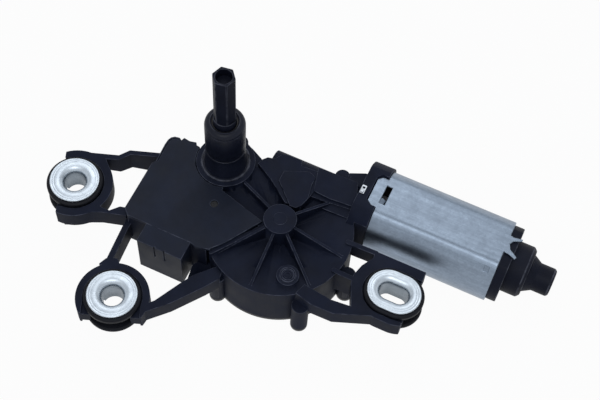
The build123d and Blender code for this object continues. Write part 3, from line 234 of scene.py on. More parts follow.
def started(
    kind: str, name: str, inputs: dict[str, str], outputs: dict[str, str]
) -> tuple[Wiring, Sockets, Node]:
    """Make an empty node group.

    Args:
        kind: Shader or Geometry.
        name: The name of the group.
        inputs: The kind of each input.
        outputs: The kind of each output.

    Returns:
        Its wiring, the inputs of the group, and the node that takes its outputs.
    """
    tree = bpy.data.node_groups.new(name, kind + "NodeTree")
    for side, sockets in (("INPUT", inputs), ("OUTPUT", outputs)):
        for label, value in sockets.items():
            tree.interface.new_socket(label, in_out=side, socket_type="NodeSocket" + value)
    source = tree.nodes.new("NodeGroupInput")
    return Wiring(tree, kind), source.outputs, tree.nodes.new("NodeGroupOutput")


@dataclass
class Effects:
    """The shader node groups that several finishes share, each built once.

    A scale counts the patches of a noise in one metre, and a range is the part of it that is used.
    """

    mottle_scale: float = 70.0
    mottle_range: Point = (0.35, 0.7)
    wide_share: float = 0.18
    fine_weight: float = 0.45
    marks_range: Point = (0.5, 0.95)
    cloud_share: float = 0.2
    cloud_range: Point = (0.35, 0.68)
    wear_and_highlight_scale: float = 260.0
    wear_and_highlight_range: Point = (0.3, 0.62)
    level_range: Point = (0.6, 1.0)
    smear_scale: float = 45.0
    smear_range: Point = (0.4, 0.75)

    def __post_init__(self) -> None:
        """Build every group."""
        self.grain = self.moulded_grain()
        self.marks = self.directed_marks()
        self.bloom = self.zinc_bloom()
        self.wear_and_highlight = self.edge_wear_and_highlight()
        self.film = self.dust_film()
        self.hollow_shade = self.hollow_painted_shade()

    def moulded_grain(self) -> NodeTree:
        """Fine grain of a moulded surface with broad soft mottling.

        Returns:
            The group, with Height for a bump and Mottle as a mask.
        """
        outputs = {"Height": "Float", "Mottle": "Float"}
        wire, source, sink = started("Shader", "moulded_grain", SIZE, outputs)
        place = wire.add("TexCoord").outputs["Object"]
        scale = wire.math("DIVIDE", 1.0, source["Size"])
        fine = wire.noise(place, scale, Detail=2.0, Roughness=0.6)
        broad = wire.noise(place, self.mottle_scale, Detail=3.0, Roughness=0.55)
        wire.feed(sink, Height=fine, Mottle=wire.ramp(broad, *self.mottle_range))
        return wire.tree

    def directed_marks(self) -> NodeTree:
        """Long fine marks left by drawing or turning.

        Returns:
            The group, with Height for a bump and Marks as a mask.
        """
        inputs, outputs = {"Direction": "Vector", **SIZE}, {"Height": "Float", "Marks": "Float"}
        wire, source, sink = started("Shader", "directed_marks", inputs, outputs)
        stretch = wire.add("VectorMath", operation="MULTIPLY")
        wire.put(stretch.inputs[0], wire.add("TexCoord").outputs["Object"])
        wire.put(stretch.inputs[1], source["Direction"])
        scale = wire.math("DIVIDE", 1.0, source["Size"])
        lines = wire.noise(stretch.outputs[0], scale, Detail=4.0, Roughness=0.65)
        wide = wire.noise(stretch.outputs[0], wire.math("MULTIPLY", scale, self.wide_share))
        both = wire.math("ADD", wire.math("MULTIPLY", lines, self.fine_weight), wide)
        wire.feed(sink, Height=lines, Marks=wire.ramp(both, *self.marks_range))
        return wire.tree

    def zinc_bloom(self) -> NodeTree:
        """Cloudy crystals of a zinc coat.

        Returns:
            The group, with Crystals and Clouds as masks.
        """
        outputs = {"Crystals": "Float", "Clouds": "Float"}
        wire, source, sink = started("Shader", "zinc_bloom", SIZE, outputs)
        place = wire.add("TexCoord").outputs["Object"]
        scale = wire.math("DIVIDE", 1.0, source["Size"])
        cells = wire.feed(wire.add("TexVoronoi"), Vector=place, Scale=scale)
        tone = wire.feed(wire.add("SeparateColor"), Color=cells.outputs["Color"])
        clouds = wire.noise(place, wire.math("MULTIPLY", scale, self.cloud_share), Detail=4.0)
        wire.feed(sink, Crystals=tone.outputs[0], Clouds=wire.ramp(clouds, *self.cloud_range))
        return wire.tree

    def edge_wear_and_highlight(self) -> NodeTree:
        """Rubbed and lit edges, read from the edge attribute of softened pieces.

        The lighter colour on them is partly wear and partly painted highlight, where rounded edges
        catch the light.

        Returns:
            The group, with Mask as its output.
        """
        wire, source, sink = started("Shader", "edge_wear_and_highlight", AMOUNT, MASK)
        edge = wire.add("Attribute", attribute_name="edge").outputs["Fac"]
        place = wire.add("TexCoord").outputs["Object"]
        patches = wire.noise(place, self.wear_and_highlight_scale, Detail=2.0)
        broken = wire.math("MULTIPLY", edge, wire.ramp(patches, *self.wear_and_highlight_range))
        wire.feed(sink, Mask=wire.math("MULTIPLY", broken, source["Amount"]))
        return wire.tree

    def hollow_painted_shade(self) -> NodeTree:
        """Painted shade deep in bores and slots, read from a shade attribute of the piece.

        Returns:
            The group, with Mask as its output.
        """
        wire, source, sink = started("Shader", "hollow_painted_shade", AMOUNT, MASK)
        deep = wire.add("Attribute", attribute_name="hollow_shade").outputs["Fac"]
        wire.feed(sink, Mask=wire.math("MULTIPLY", deep, source["Amount"]))
        return wire.tree

    def dust_film(self) -> NodeTree:
        """A thin film of handling dust on faces that look up.

        Returns:
            The group, with Mask as its output.
        """
        wire, source, sink = started("Shader", "dust_film", AMOUNT, MASK)
        normal = wire.add("NewGeometry").outputs["Normal"]
        up = wire.feed(wire.add("SeparateXYZ"), Vector=normal).outputs[2]
        place = wire.add("TexCoord").outputs["Object"]
        smears = wire.noise(place, self.smear_scale, Detail=5.0, Roughness=0.7)
        level = wire.ramp(up, *self.level_range)
        lying = wire.math("MULTIPLY", level, wire.ramp(smears, *self.smear_range))
        wire.feed(sink, Mask=wire.math("MULTIPLY", lying, source["Amount"]))
        return wire.tree


# Finishes

# Edge colour, lighter than the plastic: partly wear, partly painted highlight on rounded edges.
WORN_AND_LIT_SHARE, WORN_AND_LIT_LIFT = 3.0, 0.06
DUST = (0.16, 0.165, 0.175)
BLACK = (0.0072, 0.01, 0.0222)
SATIN_BLACK = (0.005, 0.0068, 0.0155)


@dataclass(frozen=True)
class Finish:
    """What every finish has: a name and a colour."""

    name: str
    colour: Colour

    def shader(self) -> tuple[Material, Wiring, Node]:
        """Start a material.

        Returns:
            The material, its wiring and its Principled BSDF.
        """
        material = bpy.data.materials.new(self.name)
        material.use_nodes = True
        material.diffuse_color = (*self.colour, 1.0)
        return material, Wiring(material.node_tree), material.node_tree.nodes["Principled BSDF"]

    @staticmethod
    def group(wire: Wiring, tree: NodeTree, **values: object) -> Node:
        """Place a shared effect in a material.

        Args:
            wire: The wiring of the material.
            tree: The effect.
            values: The inputs of the effect.

        Returns:
            The node of the effect.
        """
        return wire.feed(wire.add("Group", node_tree=tree), **values)

    @staticmethod
    def bump(wire: Wiring, height: NodeSocket, strength: float, depth: float) -> NodeSocket:
        """Turn a height into a normal.

        Args:
            wire: The wiring of the material.
            height: The height, from 0 to 1.
            strength: How strongly it shows.
            depth: The depth in metres of a height of 1.

        Returns:
            The normal.
        """
        node = wire.feed(wire.add("Bump"), Height=height, Strength=strength, Distance=depth)
        return node.outputs[0]


@dataclass(frozen=True)
class Plastic(Finish):
    """Moulded plastic or rubber."""

    roughness: float = 0.45
    gloss: float = 0.35
    grain_size: float = 0.5 * MM
    grain_depth: float = 0.02 * MM
    grain_strength: float = 0.6
    mottle: float = 0.22
    mottle_lift: float = 0.001
    dull_range: float = 0.12
    dust: float = 0.03
    # How strongly marked edges are lightened: partly wear, partly painted highlight.
    wear_and_highlight: float = 0.8

    def build(self, effects: Effects) -> Material:
        """Make the material.

        Args:
            effects: The shared node groups.

        Returns:
            The material.
        """
        material, wire, shader = self.shader()
        grain = self.group(wire, effects.grain, Size=self.grain_size)
        wear_and_highlight = self.group(wire, effects.wear_and_highlight, Amount=self.wear_and_highlight)
        film = self.group(wire, effects.film, Amount=self.dust)
        deep = tuple(c * (1 - self.mottle) for c in self.colour)
        pale = tuple(min(1.0, c * (1 + self.mottle) + self.mottle_lift) for c in self.colour)
        worn_and_lit = tuple(min(1.0, c * WORN_AND_LIT_SHARE + WORN_AND_LIT_LIFT) for c in self.colour)
        colour = wire.mix(grain.outputs["Mottle"], deep, pale)
        colour = wire.mix(film.outputs["Mask"], colour, DUST)
        # Lighter edges: partly rubbed wear, partly painted highlight.
        colour = wire.mix(wear_and_highlight.outputs["Mask"], colour, worn_and_lit)
        smoothest = self.roughness - self.dull_range / 2
        rough = wire.math("MULTIPLY_ADD", grain.outputs["Mottle"], self.dull_range, smoothest)
        normal = self.bump(wire, grain.outputs["Height"], self.grain_strength, self.grain_depth)
        wire.feed(shader, Base_Color=colour, Roughness=rough, Normal=normal)
        shader.inputs["Specular IOR Level"].default_value = self.gloss
        return material


@dataclass(frozen=True)
class Metal(Finish):
    """Coated, drawn or ground metal."""

    roughness: float = 0.35
    grain: Grain = Grain.NONE
    grain_size: float = 0.4 * MM
    grain_depth: float = 0.01 * MM
    grain_strength: float = 0.5
    bloom_size: float = 3.0 * MM
    bloom: float = 0.2
    stain: Colour = (0.2, 0.22, 0.26)
    stain_amount: float = 0.25
    cloud_share: float = 1.0
    cloud_rough: float = 0.06
    # Painted shade deep in bores: its colour and how strongly it shows.
    hollow_shade: Colour = (0.045, 0.075, 0.105)
    hollow_shade_tone: float = 0.85

    def build(self, effects: Effects) -> Material:
        """Make the material.

        Args:
            effects: The shared node groups.

        Returns:
            The material.
        """
        material, wire, shader = self.shader()
        marks = self.group(wire, effects.marks, Direction=self.grain.value, Size=self.grain_size)
        bloom = self.group(wire, effects.bloom, Size=self.bloom_size)
        deep = tuple(c * (1 - self.bloom) for c in self.colour)
        pale = tuple(min(1.0, c * (1 + self.bloom)) for c in self.colour)
        colour = wire.mix(bloom.outputs["Crystals"], deep, pale)
        cloudy = self.stain_amount * self.cloud_share
        stained = wire.math("MULTIPLY", bloom.outputs["Clouds"], cloudy)
        colour = wire.mix(stained, colour, self.stain)
        lines = wire.math("MULTIPLY", marks.outputs["Marks"], self.stain_amount)
        colour = wire.mix(lines, colour, self.stain)
        # Painted shade darkens the colour deep in bores.
        hollow_shade = self.group(wire, effects.hollow_shade, Amount=self.hollow_shade_tone)
        colour = wire.mix(hollow_shade.outputs["Mask"], colour, self.hollow_shade)
        rough = wire.math("MULTIPLY_ADD", bloom.outputs["Clouds"], self.cloud_rough, self.roughness)
        normal = self.bump(wire, marks.outputs["Height"], self.grain_strength, self.grain_depth)
        wire.feed(shader, Base_Color=colour, Roughness=rough, Normal=normal, Metallic=1.0)
        return material


FINISHES: dict[str, Finish] = {
    "black_plastic": Plastic("black_moulded_plastic", BLACK, roughness=0.56, gloss=0.07),
    "lid_plastic": Plastic(
        "lid_moulded_plastic", (0.0082, 0.0118, 0.0245), roughness=0.52, gloss=0.12
    ),
    "tower_plastic": Plastic(
        "tower_moulded_plastic", (0.0055, 0.0075, 0.017), roughness=0.42, gloss=0.2
    ),
    "hex_plastic": Plastic("hexagon_moulded_plastic", SATIN_BLACK, roughness=0.54, gloss=0.1),
    "cap_plastic": Plastic("cap_moulded_plastic", SATIN_BLACK, roughness=0.54, gloss=0.1),
    "cover_steel": Plastic(
        "painted_cover", (0.007, 0.008, 0.011), roughness=0.42, gloss=0.3, wear_and_highlight=0.3
    ),
    "rubber": Plastic(
        "grommet_rubber", (0.004, 0.0048, 0.0085), roughness=0.55, gloss=0.16, dust=0.02
    ),
    "seal_rubber": Plastic(
        "seal_rubber", (0.005, 0.005, 0.006), roughness=0.5, gloss=0.35, dust=0.0
    ),
    "galvanised_can": Metal(
        "galvanised_steel", (0.27, 0.33, 0.415), roughness=0.36, grain=Grain.ALONG_MOTOR,
        grain_depth=0.03 * MM, bloom_size=0.9 * MM, bloom=0.09, stain=(0.15, 0.185, 0.235),
        stain_amount=0.55, cloud_share=0.3,
    ),
    "zinc_plate": Metal(
        "bright_zinc", (0.62, 0.69, 0.76), roughness=0.38, bloom_size=0.9 * MM, bloom=0.05,
        stain=(0.4, 0.45, 0.52), stain_amount=0.25,
    ),
    "bright_clip": Metal("bright_clip", (0.42, 0.45, 0.49), roughness=0.32),
    "plain_steel": Metal(
        "ground_steel", (0.5, 0.51, 0.53), roughness=0.25, grain=Grain.ALONG_SPINDLE
    ),
    "screw_steel": Metal("plated_screws", (0.45, 0.46, 0.48), roughness=0.32),
    "link_steel": Metal("stamped_steel", (0.38, 0.39, 0.41), roughness=0.38),
    "spring_steel": Metal("spring_steel", (0.34, 0.35, 0.37), roughness=0.3),
    "bronze": Metal("sintered_bronze", (0.5, 0.33, 0.16), roughness=0.5),
    "copper": Metal("enamelled_wire", (0.6, 0.24, 0.1), roughness=0.3),
    "commutator_copper": Metal(
        "turned_copper", (0.65, 0.3, 0.14), roughness=0.28, grain=Grain.ALONG_SPINDLE
    ),
    "tin_brass": Metal("tinned_brass", (0.62, 0.58, 0.46), roughness=0.28),
    "laminations": Metal("stacked_sheet", (0.16, 0.16, 0.17), roughness=0.45),
    "ferrite": Plastic("ferrite", (0.05, 0.05, 0.055), roughness=0.6),
    "carbon": Plastic("pressed_carbon", (0.02, 0.02, 0.02), roughness=0.6),
    "wheel_plastic": Plastic(
        "natural_nylon", (0.72, 0.7, 0.62), roughness=0.4, mottle=0.03, dust=0.0
    ),
    "washer_plastic": Plastic(
        "washer_nylon", (0.75, 0.75, 0.72), roughness=0.4, mottle=0.03, dust=0.0
    ),
    "card_plastic": Plastic("brush_card", (0.02, 0.019, 0.02), roughness=0.5, mottle=0.1),
    "board": Plastic("solder_mask", (0.02, 0.14, 0.05), roughness=0.25, gloss=0.5, mottle=0.1),
    "relay_case": Plastic("relay_case", (0.03, 0.05, 0.1), roughness=0.3, gloss=0.5),
    "capacitor_can": Metal("capacitor_can", (0.3, 0.33, 0.42), roughness=0.3),
    "chip": Plastic("chip_case", (0.02, 0.02, 0.02), roughness=0.5),
}


# Mesh building

# Lengths are in metres and angles in radians. The floor of a groove is a share of its width.
WELD, CAD_WELD = 1e-7, 2e-6
FLAT_TURN = radians(0.3)
ROUNDED_TURN = radians(28)
SHARP_TURN, TURNED_SHARP = radians(34), radians(35)
FLAT_WEIGHT = 80
ROUNDED_SLOT = 1
# Bands narrower than this get the lighter edge colour: partly wear, partly painted highlight.
EDGE_BAND_WIDTH = 0.3 * MM
GROOVE_FLOOR = 0.3


def in_scene(name: str, data: bpy.types.ID) -> Object:
    """Put a mesh, a camera or a light into the scene.

    Args:
        name: The name of its object.
        data: What the object shows.

    Returns:
        The object.
    """
    thing = bpy.data.objects.new(name, data)
    bpy.context.scene.collection.objects.link(thing)
    return thing


def settled(piece: Object) -> Mesh:
    """Apply the modifiers of a piece.

    Args:
        piece: The piece with its modifiers.

    Returns:
        Its new, plain mesh.
    """
    graph = bpy.context.evaluated_depsgraph_get()
    mesh = bpy.data.meshes.new_from_object(piece.evaluated_get(graph))
    piece.modifiers.clear()
    old, piece.data = piece.data, mesh
    bpy.data.meshes.remove(old)
    return mesh


def tidy_normals(mesh: Mesh) -> None:
    """Point the faces outwards and shade them smooth, apart from the sharp edges.

    Args:
        mesh: The mesh.
    """
    shape = bmesh.new()
    shape.from_mesh(mesh)
    bmesh.ops.remove_doubles(shape, verts=shape.verts, dist=WELD)
    bmesh.ops.recalc_face_normals(shape, faces=shape.faces)
    shape.to_mesh(mesh)
    shape.free()
    mesh.shade_smooth()
    mesh.set_sharp_from_angle(angle=TURNED_SHARP)


def turned(name: str, loop: Sequence[Point], half: float = 0.0, segments: int = 96) -> Object:
    """Carry a closed radius and height outline round a circle or a stadium.

    Args:
        name: The name of the piece.
        loop: The outline as radius and height, in millimetres.
        half: Half the distance between the arc centres of a stadium along X.
        segments: Steps round the whole turn.

    Returns:
        The piece, with its centre at the origin and its narrow bands marked in the edge attribute.
    """
    shape = bmesh.new()
    edge_band = shape.faces.layers.float.new("edge")
    loop = [(r * MM, z * MM) for r, z in loop]
    rings = []
    angles = [2 * pi * n / segments - pi / 2 for n in range(segments)]
    for n, angle in enumerate(angles):
        shift, u, v = half if n < segments // 2 else -half, cos(angle), sin(angle)
        rings.append([shape.verts.new((shift + r * u, r * v, z)) for r, z in loop])
    if half:
        rings.insert(segments // 2, [shape.verts.new((half, r, z)) for r, z in loop])
        rings.append([shape.verts.new((-half, -r, z)) for r, z in loop])
    for ring, following in zip(rings, rings[1:] + rings[:1]):
        for index in range(len(loop)):
            after = (index + 1) % len(loop)
            corners = (ring[index], ring[after], following[after], following[index])
            face = shape.faces.new(corners)
            # Narrow bands are marked as edges, which plastic finishes lighten: partly wear, partly
            # painted highlight.
            face[edge_band] = float((Vector(loop[after]) - Vector(loop[index])).length < EDGE_BAND_WIDTH)
    mesh = bpy.data.meshes.new(name)
    bmesh.ops.remove_doubles(shape, verts=shape.verts, dist=WELD)
    bmesh.ops.dissolve_degenerate(shape, edges=shape.edges, dist=WELD)
    shape.to_mesh(mesh)
    shape.free()
    tidy_normals(mesh)
    return in_scene(name, mesh)


def softened(name: str, source: Mesh, width: float, segments: int = 2) -> Object:
    """Make a piece from a mesh and round the edges that stand out.

    Large faces stay flat in the shading, so that only the rounded edges turn the light.

    Args:
        name: The name of the piece.
        source: The mesh, which stays as it is.
        width: How far each edge is taken back.
        segments: Faces across each rounded edge.

    Returns:
        The rounded piece, with its rounded faces marked in the edge attribute.
    """
    shape = bmesh.new()
    shape.from_mesh(source)
    bmesh.ops.remove_doubles(shape, verts=shape.verts, dist=CAD_WELD)
    bmesh.ops.dissolve_limit(shape, angle_limit=FLAT_TURN, verts=shape.verts, edges=shape.edges)
    rounding = shape.edges.layers.float.new("bevel_weight_edge")
    for edge in shape.edges:
        if edge.is_manifold and edge.calc_face_angle_signed() > ROUNDED_TURN:
            edge[rounding] = 1.0
    mesh = bpy.data.meshes.new(name)
    shape.to_mesh(mesh)
    shape.free()
    for _ in range(ROUNDED_SLOT + 1):
        mesh.materials.append(None)
    piece = in_scene(name, mesh)
    bevel = piece.modifiers.new("round", "BEVEL")
    bevel.width = width
    bevel.segments = segments
    bevel.limit_method = "WEIGHT"
    bevel.use_clamp_overlap = False
    bevel.material = ROUNDED_SLOT
    mesh.shade_smooth()
    mesh.set_sharp_from_angle(angle=SHARP_TURN)
    weight = piece.modifiers.new("weigh", "WEIGHTED_NORMAL")
    weight.mode = "FACE_AREA"
    weight.weight = FLAT_WEIGHT
    weight.keep_sharp = True
    rounded = settled(piece)
    marked = [float(face.material_index == ROUNDED_SLOT) for face in rounded.polygons]
    rounded.attributes.new("edge", "FLOAT", "FACE").data.foreach_set("value", marked)
    rounded.polygons.foreach_set("material_index", [0] * len(marked))
    return piece


def solids_of(node: Object) -> list[tuple[Vector, Mesh]]:
    """Split a CAD node into its separate solids.

    Args:
        node: The CAD node.

    Returns:
        For each solid the middle of its box, and its mesh with that middle at the origin.
    """
    shape = bmesh.new()
    shape.from_mesh(node.data)
    bmesh.ops.remove_doubles(shape, verts=shape.verts, dist=CAD_WELD)
    found: list[tuple[Vector, Mesh]] = []
    left = set(shape.verts)
    while left:
        island, border = set(), [min(left, key=lambda vert: vert.index)]
        while border:
            vert = border.pop()
            if vert not in island:
                island.add(vert)
                border.extend(link.other_vert(vert) for link in vert.link_edges)
        left -= island
        verts = sorted(island, key=lambda vert: vert.index)
        low = Vector([min(vert.co[axis] for vert in verts) for axis in range(3)])
        high = Vector([max(vert.co[axis] for vert in verts) for axis in range(3)])
        middle = (low + high) / 2
        place = {vert: number for number, vert in enumerate(verts)}
        touching = {face for vert in verts for face in vert.link_faces}
        faces = sorted(touching, key=lambda face: face.index)
        corners = [[place[vert] for vert in face.verts] for face in faces]
        mesh = bpy.data.meshes.new(node.name + "_solid")
        mesh.from_pydata([tuple(vert.co - middle) for vert in verts], [], corners)
        found.append((middle, mesh))
    shape.free()
    return found


def box_mesh(name: str, low: Sequence[float], high: Sequence[float]) -> Mesh:
    """Make a plain box.

    Args:
        name: The name of the mesh.
        low: Its lowest corner.
        high: Its highest corner.

    Returns:
        The box.
    """
    shape = bmesh.new()
    bmesh.ops.create_cube(shape, size=1.0)
    for vert in shape.verts:
        vert.co = Vector([low[n] if vert.co[n] < 0 else high[n] for n in range(3)])
    mesh = bpy.data.meshes.new(name)
    shape.to_mesh(mesh)
    shape.free()
    return mesh


def hollow_below(
    piece: Object, radius: float, centre: Vector, half: float, top: float, bottom: float
) -> None:
    """Mark the bore of a sleeve for painted shade, more and more from its mouth downwards.

    Args:
        piece: The sleeve.
        radius: Points nearer to the middle line than this belong to the bore.
        centre: The middle of the sleeve.
        half: Half the distance between the arc centres along X.
        top: The height at which the painted shade starts.
        bottom: The height at which it is full.
    """
    values = []
    for vert in piece.data.vertices:
        across = Vector((max(abs(vert.co.x - centre.x) - half, 0.0), vert.co.y - centre.y)).length
        depth = (top - vert.co.z) / (top - bottom)
        values.append(min(1.0, max(0.0, depth)) if across < radius else 0.0)
    layer = piece.data.attributes.new("hollow_shade", "FLOAT", "POINT")
    layer.data.foreach_set("value", values)


def arc(centre: Point, radius: float, start: float, end: float, steps: int) -> list[Point]:
    """Points on an arc.

    Args:
        centre: The middle of the arc.
        radius: Its radius.
        start: The angle in degrees of the first point.
        end: The angle in degrees of the last point.
        steps: The number of chords.

    Returns:
        The points.
    """
    turns = [radians(start + (end - start) * n / steps) for n in range(steps + 1)]
    return [(centre[0] + radius * cos(a), centre[1] + radius * sin(a)) for a in turns]


def groove(radius: float, height: float, width: float, depth: float) -> list[Point]:
    """A small ring groove in a flat top, from the outside in.

    Args:
        radius: The radius of its middle.
        height: The height of the flat.
        width: Its width.
        depth: Its depth.

    Returns:
        The points.
    """
    half, floor = width / 2, GROOVE_FLOOR * width / 2
    return [
        (radius + half, height), (radius + floor, height - depth), (radius - floor, height - depth),
        (radius - half, height),
    ]


# Repeated shapes


@dataclass
class NodeTrees:
    """The Geometry Nodes trees that make what repeats, each built once."""

    turn_steps: int = 20
    wire_sides: int = 8

    def __post_init__(self) -> None:
        """Build every tree."""
        self.copies = self.copies_on_points()
        self.coil = self.wound_wire()

    def copies_on_points(self) -> NodeTree:
        """Stand one piece on every point of a mesh.

        Returns:
            The tree, with the inputs Piece and Finish.
        """
        inputs = {**SHAPE, "Piece": "Object", "Finish": "Material"}
        wire, source, sink = started("Geometry", "copies_on_points", inputs, SHAPE)
        piece = wire.feed(wire.add("ObjectInfo"), Object=source["Piece"])
        return self.stood(wire, source, piece.outputs["Geometry"], sink)

    def wound_wire(self) -> NodeTree:
        """Wind one coil of round wire on every point of a mesh, its axis upright.

        Returns:
            The tree, with the inputs Turns, Radius, Height, Wire and Finish.
        """
        sizes = dict.fromkeys(("Turns", "Radius", "Height", "Wire"), "Float")
        inputs = {**SHAPE, **sizes, "Finish": "Material"}
        wire, source, sink = started("Geometry", "wound_wire", inputs, SHAPE)
        path = wire.feed(
            wire.add("CurveSpiral"), Resolution=self.turn_steps, Rotations=source["Turns"],
            Start_Radius=source["Radius"], End_Radius=source["Radius"], Height=source["Height"],
        )
        section = wire.add("CurvePrimitiveCircle")
        wire.feed(section, Resolution=self.wire_sides, Radius=source["Wire"])
        sweep = wire.add("CurveToMesh")
        wire.feed(sweep, Curve=path.outputs[0], Profile_Curve=section.outputs[0], Fill_Caps=True)
        smooth = wire.feed(wire.add("SetShadeSmooth"), Geometry=sweep.outputs[0])
        return self.stood(wire, source, smooth.outputs[0], sink)

    @staticmethod
    def stood(wire: Wiring, source: Sockets, shape: NodeSocket, sink: Node) -> NodeTree:
        """Stand a shape on every point, make the copies real and give them their finish.

        Args:
            wire: The wiring of the tree.
            source: The inputs of the tree, with the points as Geometry and the material as Finish.
            shape: The shape.
            sink: The node that takes the output.

        Returns:
            The whole tree.
        """
        stand = wire.feed(wire.add("InstanceOnPoints"), Points=source["Geometry"], Instance=shape)
        real = wire.feed(wire.add("RealizeInstances"), Geometry=stand.outputs[0])
        coat = wire.add("SetMaterial")
        wire.feed(coat, Geometry=real.outputs[0], Material=source["Finish"])
        wire.feed(sink, Geometry=coat.outputs[0])
        return wire.tree

    @staticmethod
    def grown(name: str, points: Sequence[Vector], tree: NodeTree, **values: object) -> Object:
        """Run a tree on some points and keep the result as a plain mesh.

        Args:
            name: The name of the piece.
            points: The points that the tree starts from.
            tree: The tree.
            values: The tree's inputs.

        Returns:
            The piece.
        """
        seeds = bpy.data.meshes.new(name + "_points")
        seeds.from_pydata([tuple(point) for point in points], [], [])
        piece = in_scene(name, seeds)
        modifier = piece.modifiers.new("grow", "NODES")
        modifier.node_group = tree
        inputs = [item for item in tree.interface.items_tree if item.in_out == "INPUT"]
        sockets = {item.name: item.identifier for item in inputs}
        for label, value in values.items():
            modifier[sockets[label]] = value
        settled(piece)
        return piece


# Placing

SAME_COIL_GAP, SAME_COIL_ASIDE = 0.2 * MM, 0.1 * MM


@dataclass
class Workshop:
    """Hands out materials and places pieces on the frame."""

    frame: dict

    def __post_init__(self) -> None:
        """Build the shared effects and read which slot each node has."""
        self.effects = Effects()
        parts = self.frame["record"]["subparts"]
        self.slots = {part["node"]: part["material_slot"] for part in parts}
        self.materials: dict[str, Material] = {}
        self.trees = NodeTrees()
        bodies = self.frame["record"]["behaviour"]["bodies"]
        self.bodies = {node: body for body, nodes in bodies.items() for node in nodes}

    def material(self, slot: str) -> Material:
        """The material of a slot, built when it is first asked for.

        Args:
            slot: The record's material slot.

        Returns:
            The material.
        """
        if slot not in self.materials:
            self.materials[slot] = FINISHES[slot].build(self.effects)
        return self.materials[slot]

    def dress(self, piece: Object, node: str) -> None:
        """Give a piece the material of a node.

        Args:
            piece: The piece.
            node: The name of the node.
        """
        piece.data.materials.clear()
        piece.data.materials.append(self.material(self.slots[node]))

    def finish(self, piece: Object, node: str) -> None:
        """Give a piece the body and the material of a node.

        Args:
            piece: The piece.
            node: The name of the node.
        """
        self.dress(piece, node)
        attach(piece, self.bodies[node])

    def stand_in(self, piece: Object, *nodes: str) -> None:
        """Let a piece take the place of CAD nodes.

        Args:
            piece: The finished piece.
            nodes: The nodes it stands for; it rides and is finished as the first of them.
        """
        self.finish(piece, nodes[0])
        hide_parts(*nodes)
        LOG.info("%s stands for %s", piece.name, ", ".join(nodes))

    def soften(self, node: str, width: float) -> None:
        """Let a copy with rounded edges take the place of a CAD node.

        Args:
            node: The name of the node.
            width: How far each edge is taken back.
        """
        self.stand_in(softened(node + "_soft", self.frame["nodes"][node].data, width), node)

    def place(self, piece: Object, node: str) -> None:
        """Add a piece beside a CAD node, of the same body and finish.

        Args:
            piece: The finished piece.
            node: The node beside it.
        """
        self.finish(piece, node)
        LOG.info("%s is added beside %s", piece.name, node)

    def wind(self, node: str, axis: str, turns: float, wire: float) -> None:
        """Wind a coil of wire in the place of each coil of a CAD node.

        Args:
            node: The CAD node.
            axis: The direction of the coils, X or Y.
            turns: The turns of each coil.
            wire: The radius of the wire.
        """
        along = "XYZ".index(axis)
        low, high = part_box(node)
        spots = self.coil_spots(node, along)
        size = spots[0][1]
        radius = min(size[n] for n in range(3) if n != along) / 2 - wire
        height = size[along] - 2 * wire
        turn = Matrix.Rotation(pi / 2, 4, "Y") if axis == "X" else Matrix.Rotation(-pi / 2, 4, "X")
        foot = Vector([height / 2 if n == along else 0.0 for n in range(3)])
        starts = [turn.inverted() @ (middle - foot) for middle, _ in spots]
        piece = self.trees.grown(
            node + "_wound", starts, self.trees.coil, Turns=turns, Radius=radius, Height=height,
            Wire=wire, Finish=self.material(self.slots[node]),
        )
        piece.data.transform(turn)
        LOG.info("%s is wound between %s and %s", node, tuple(low), tuple(high))
        self.stand_in(piece, node)

    def coil_spots(self, node: str, along: int) -> list[tuple[Vector, Vector]]:
        """Find the middle and the size of each coil of a CAD node.

        Solids that follow one another along the coil's direction make one coil.

        Args:
            node: The CAD node.
            along: The number of the coil's axis.

        Returns:
            For each coil its middle and its size.
        """
        boxes: list[list[Vector]] = []
        solids = sorted(solids_of(self.frame["nodes"][node]), key=lambda solid: tuple(solid[0]))
        for middle, mesh in solids:
            reach = Vector([max(abs(vert.co[n]) for vert in mesh.vertices) for n in range(3)])
            for box in boxes:
                centre, half = (box[0] + box[1]) / 2, (box[1] - box[0]) / 2
                gap = abs(centre[along] - middle[along]) - half[along] - reach[along]
                aside = max(abs(centre[n] - middle[n]) for n in range(3) if n != along)
                if gap < SAME_COIL_GAP and aside < SAME_COIL_ASIDE:
                    for n in range(3):
                        box[0][n] = min(box[0][n], middle[n] - reach[n])
                        box[1][n] = max(box[1][n], middle[n] + reach[n])
                    break
            else:
                boxes.append([middle - reach, middle + reach])
        return [((low + high) / 2, high - low) for low, high in boxes]

    def dress_nodes(self) -> None:
        """Give every CAD node the material of its slot."""
        for name, node in self.frame["nodes"].items():
            self.dress(node, name)


# The parts of the motor


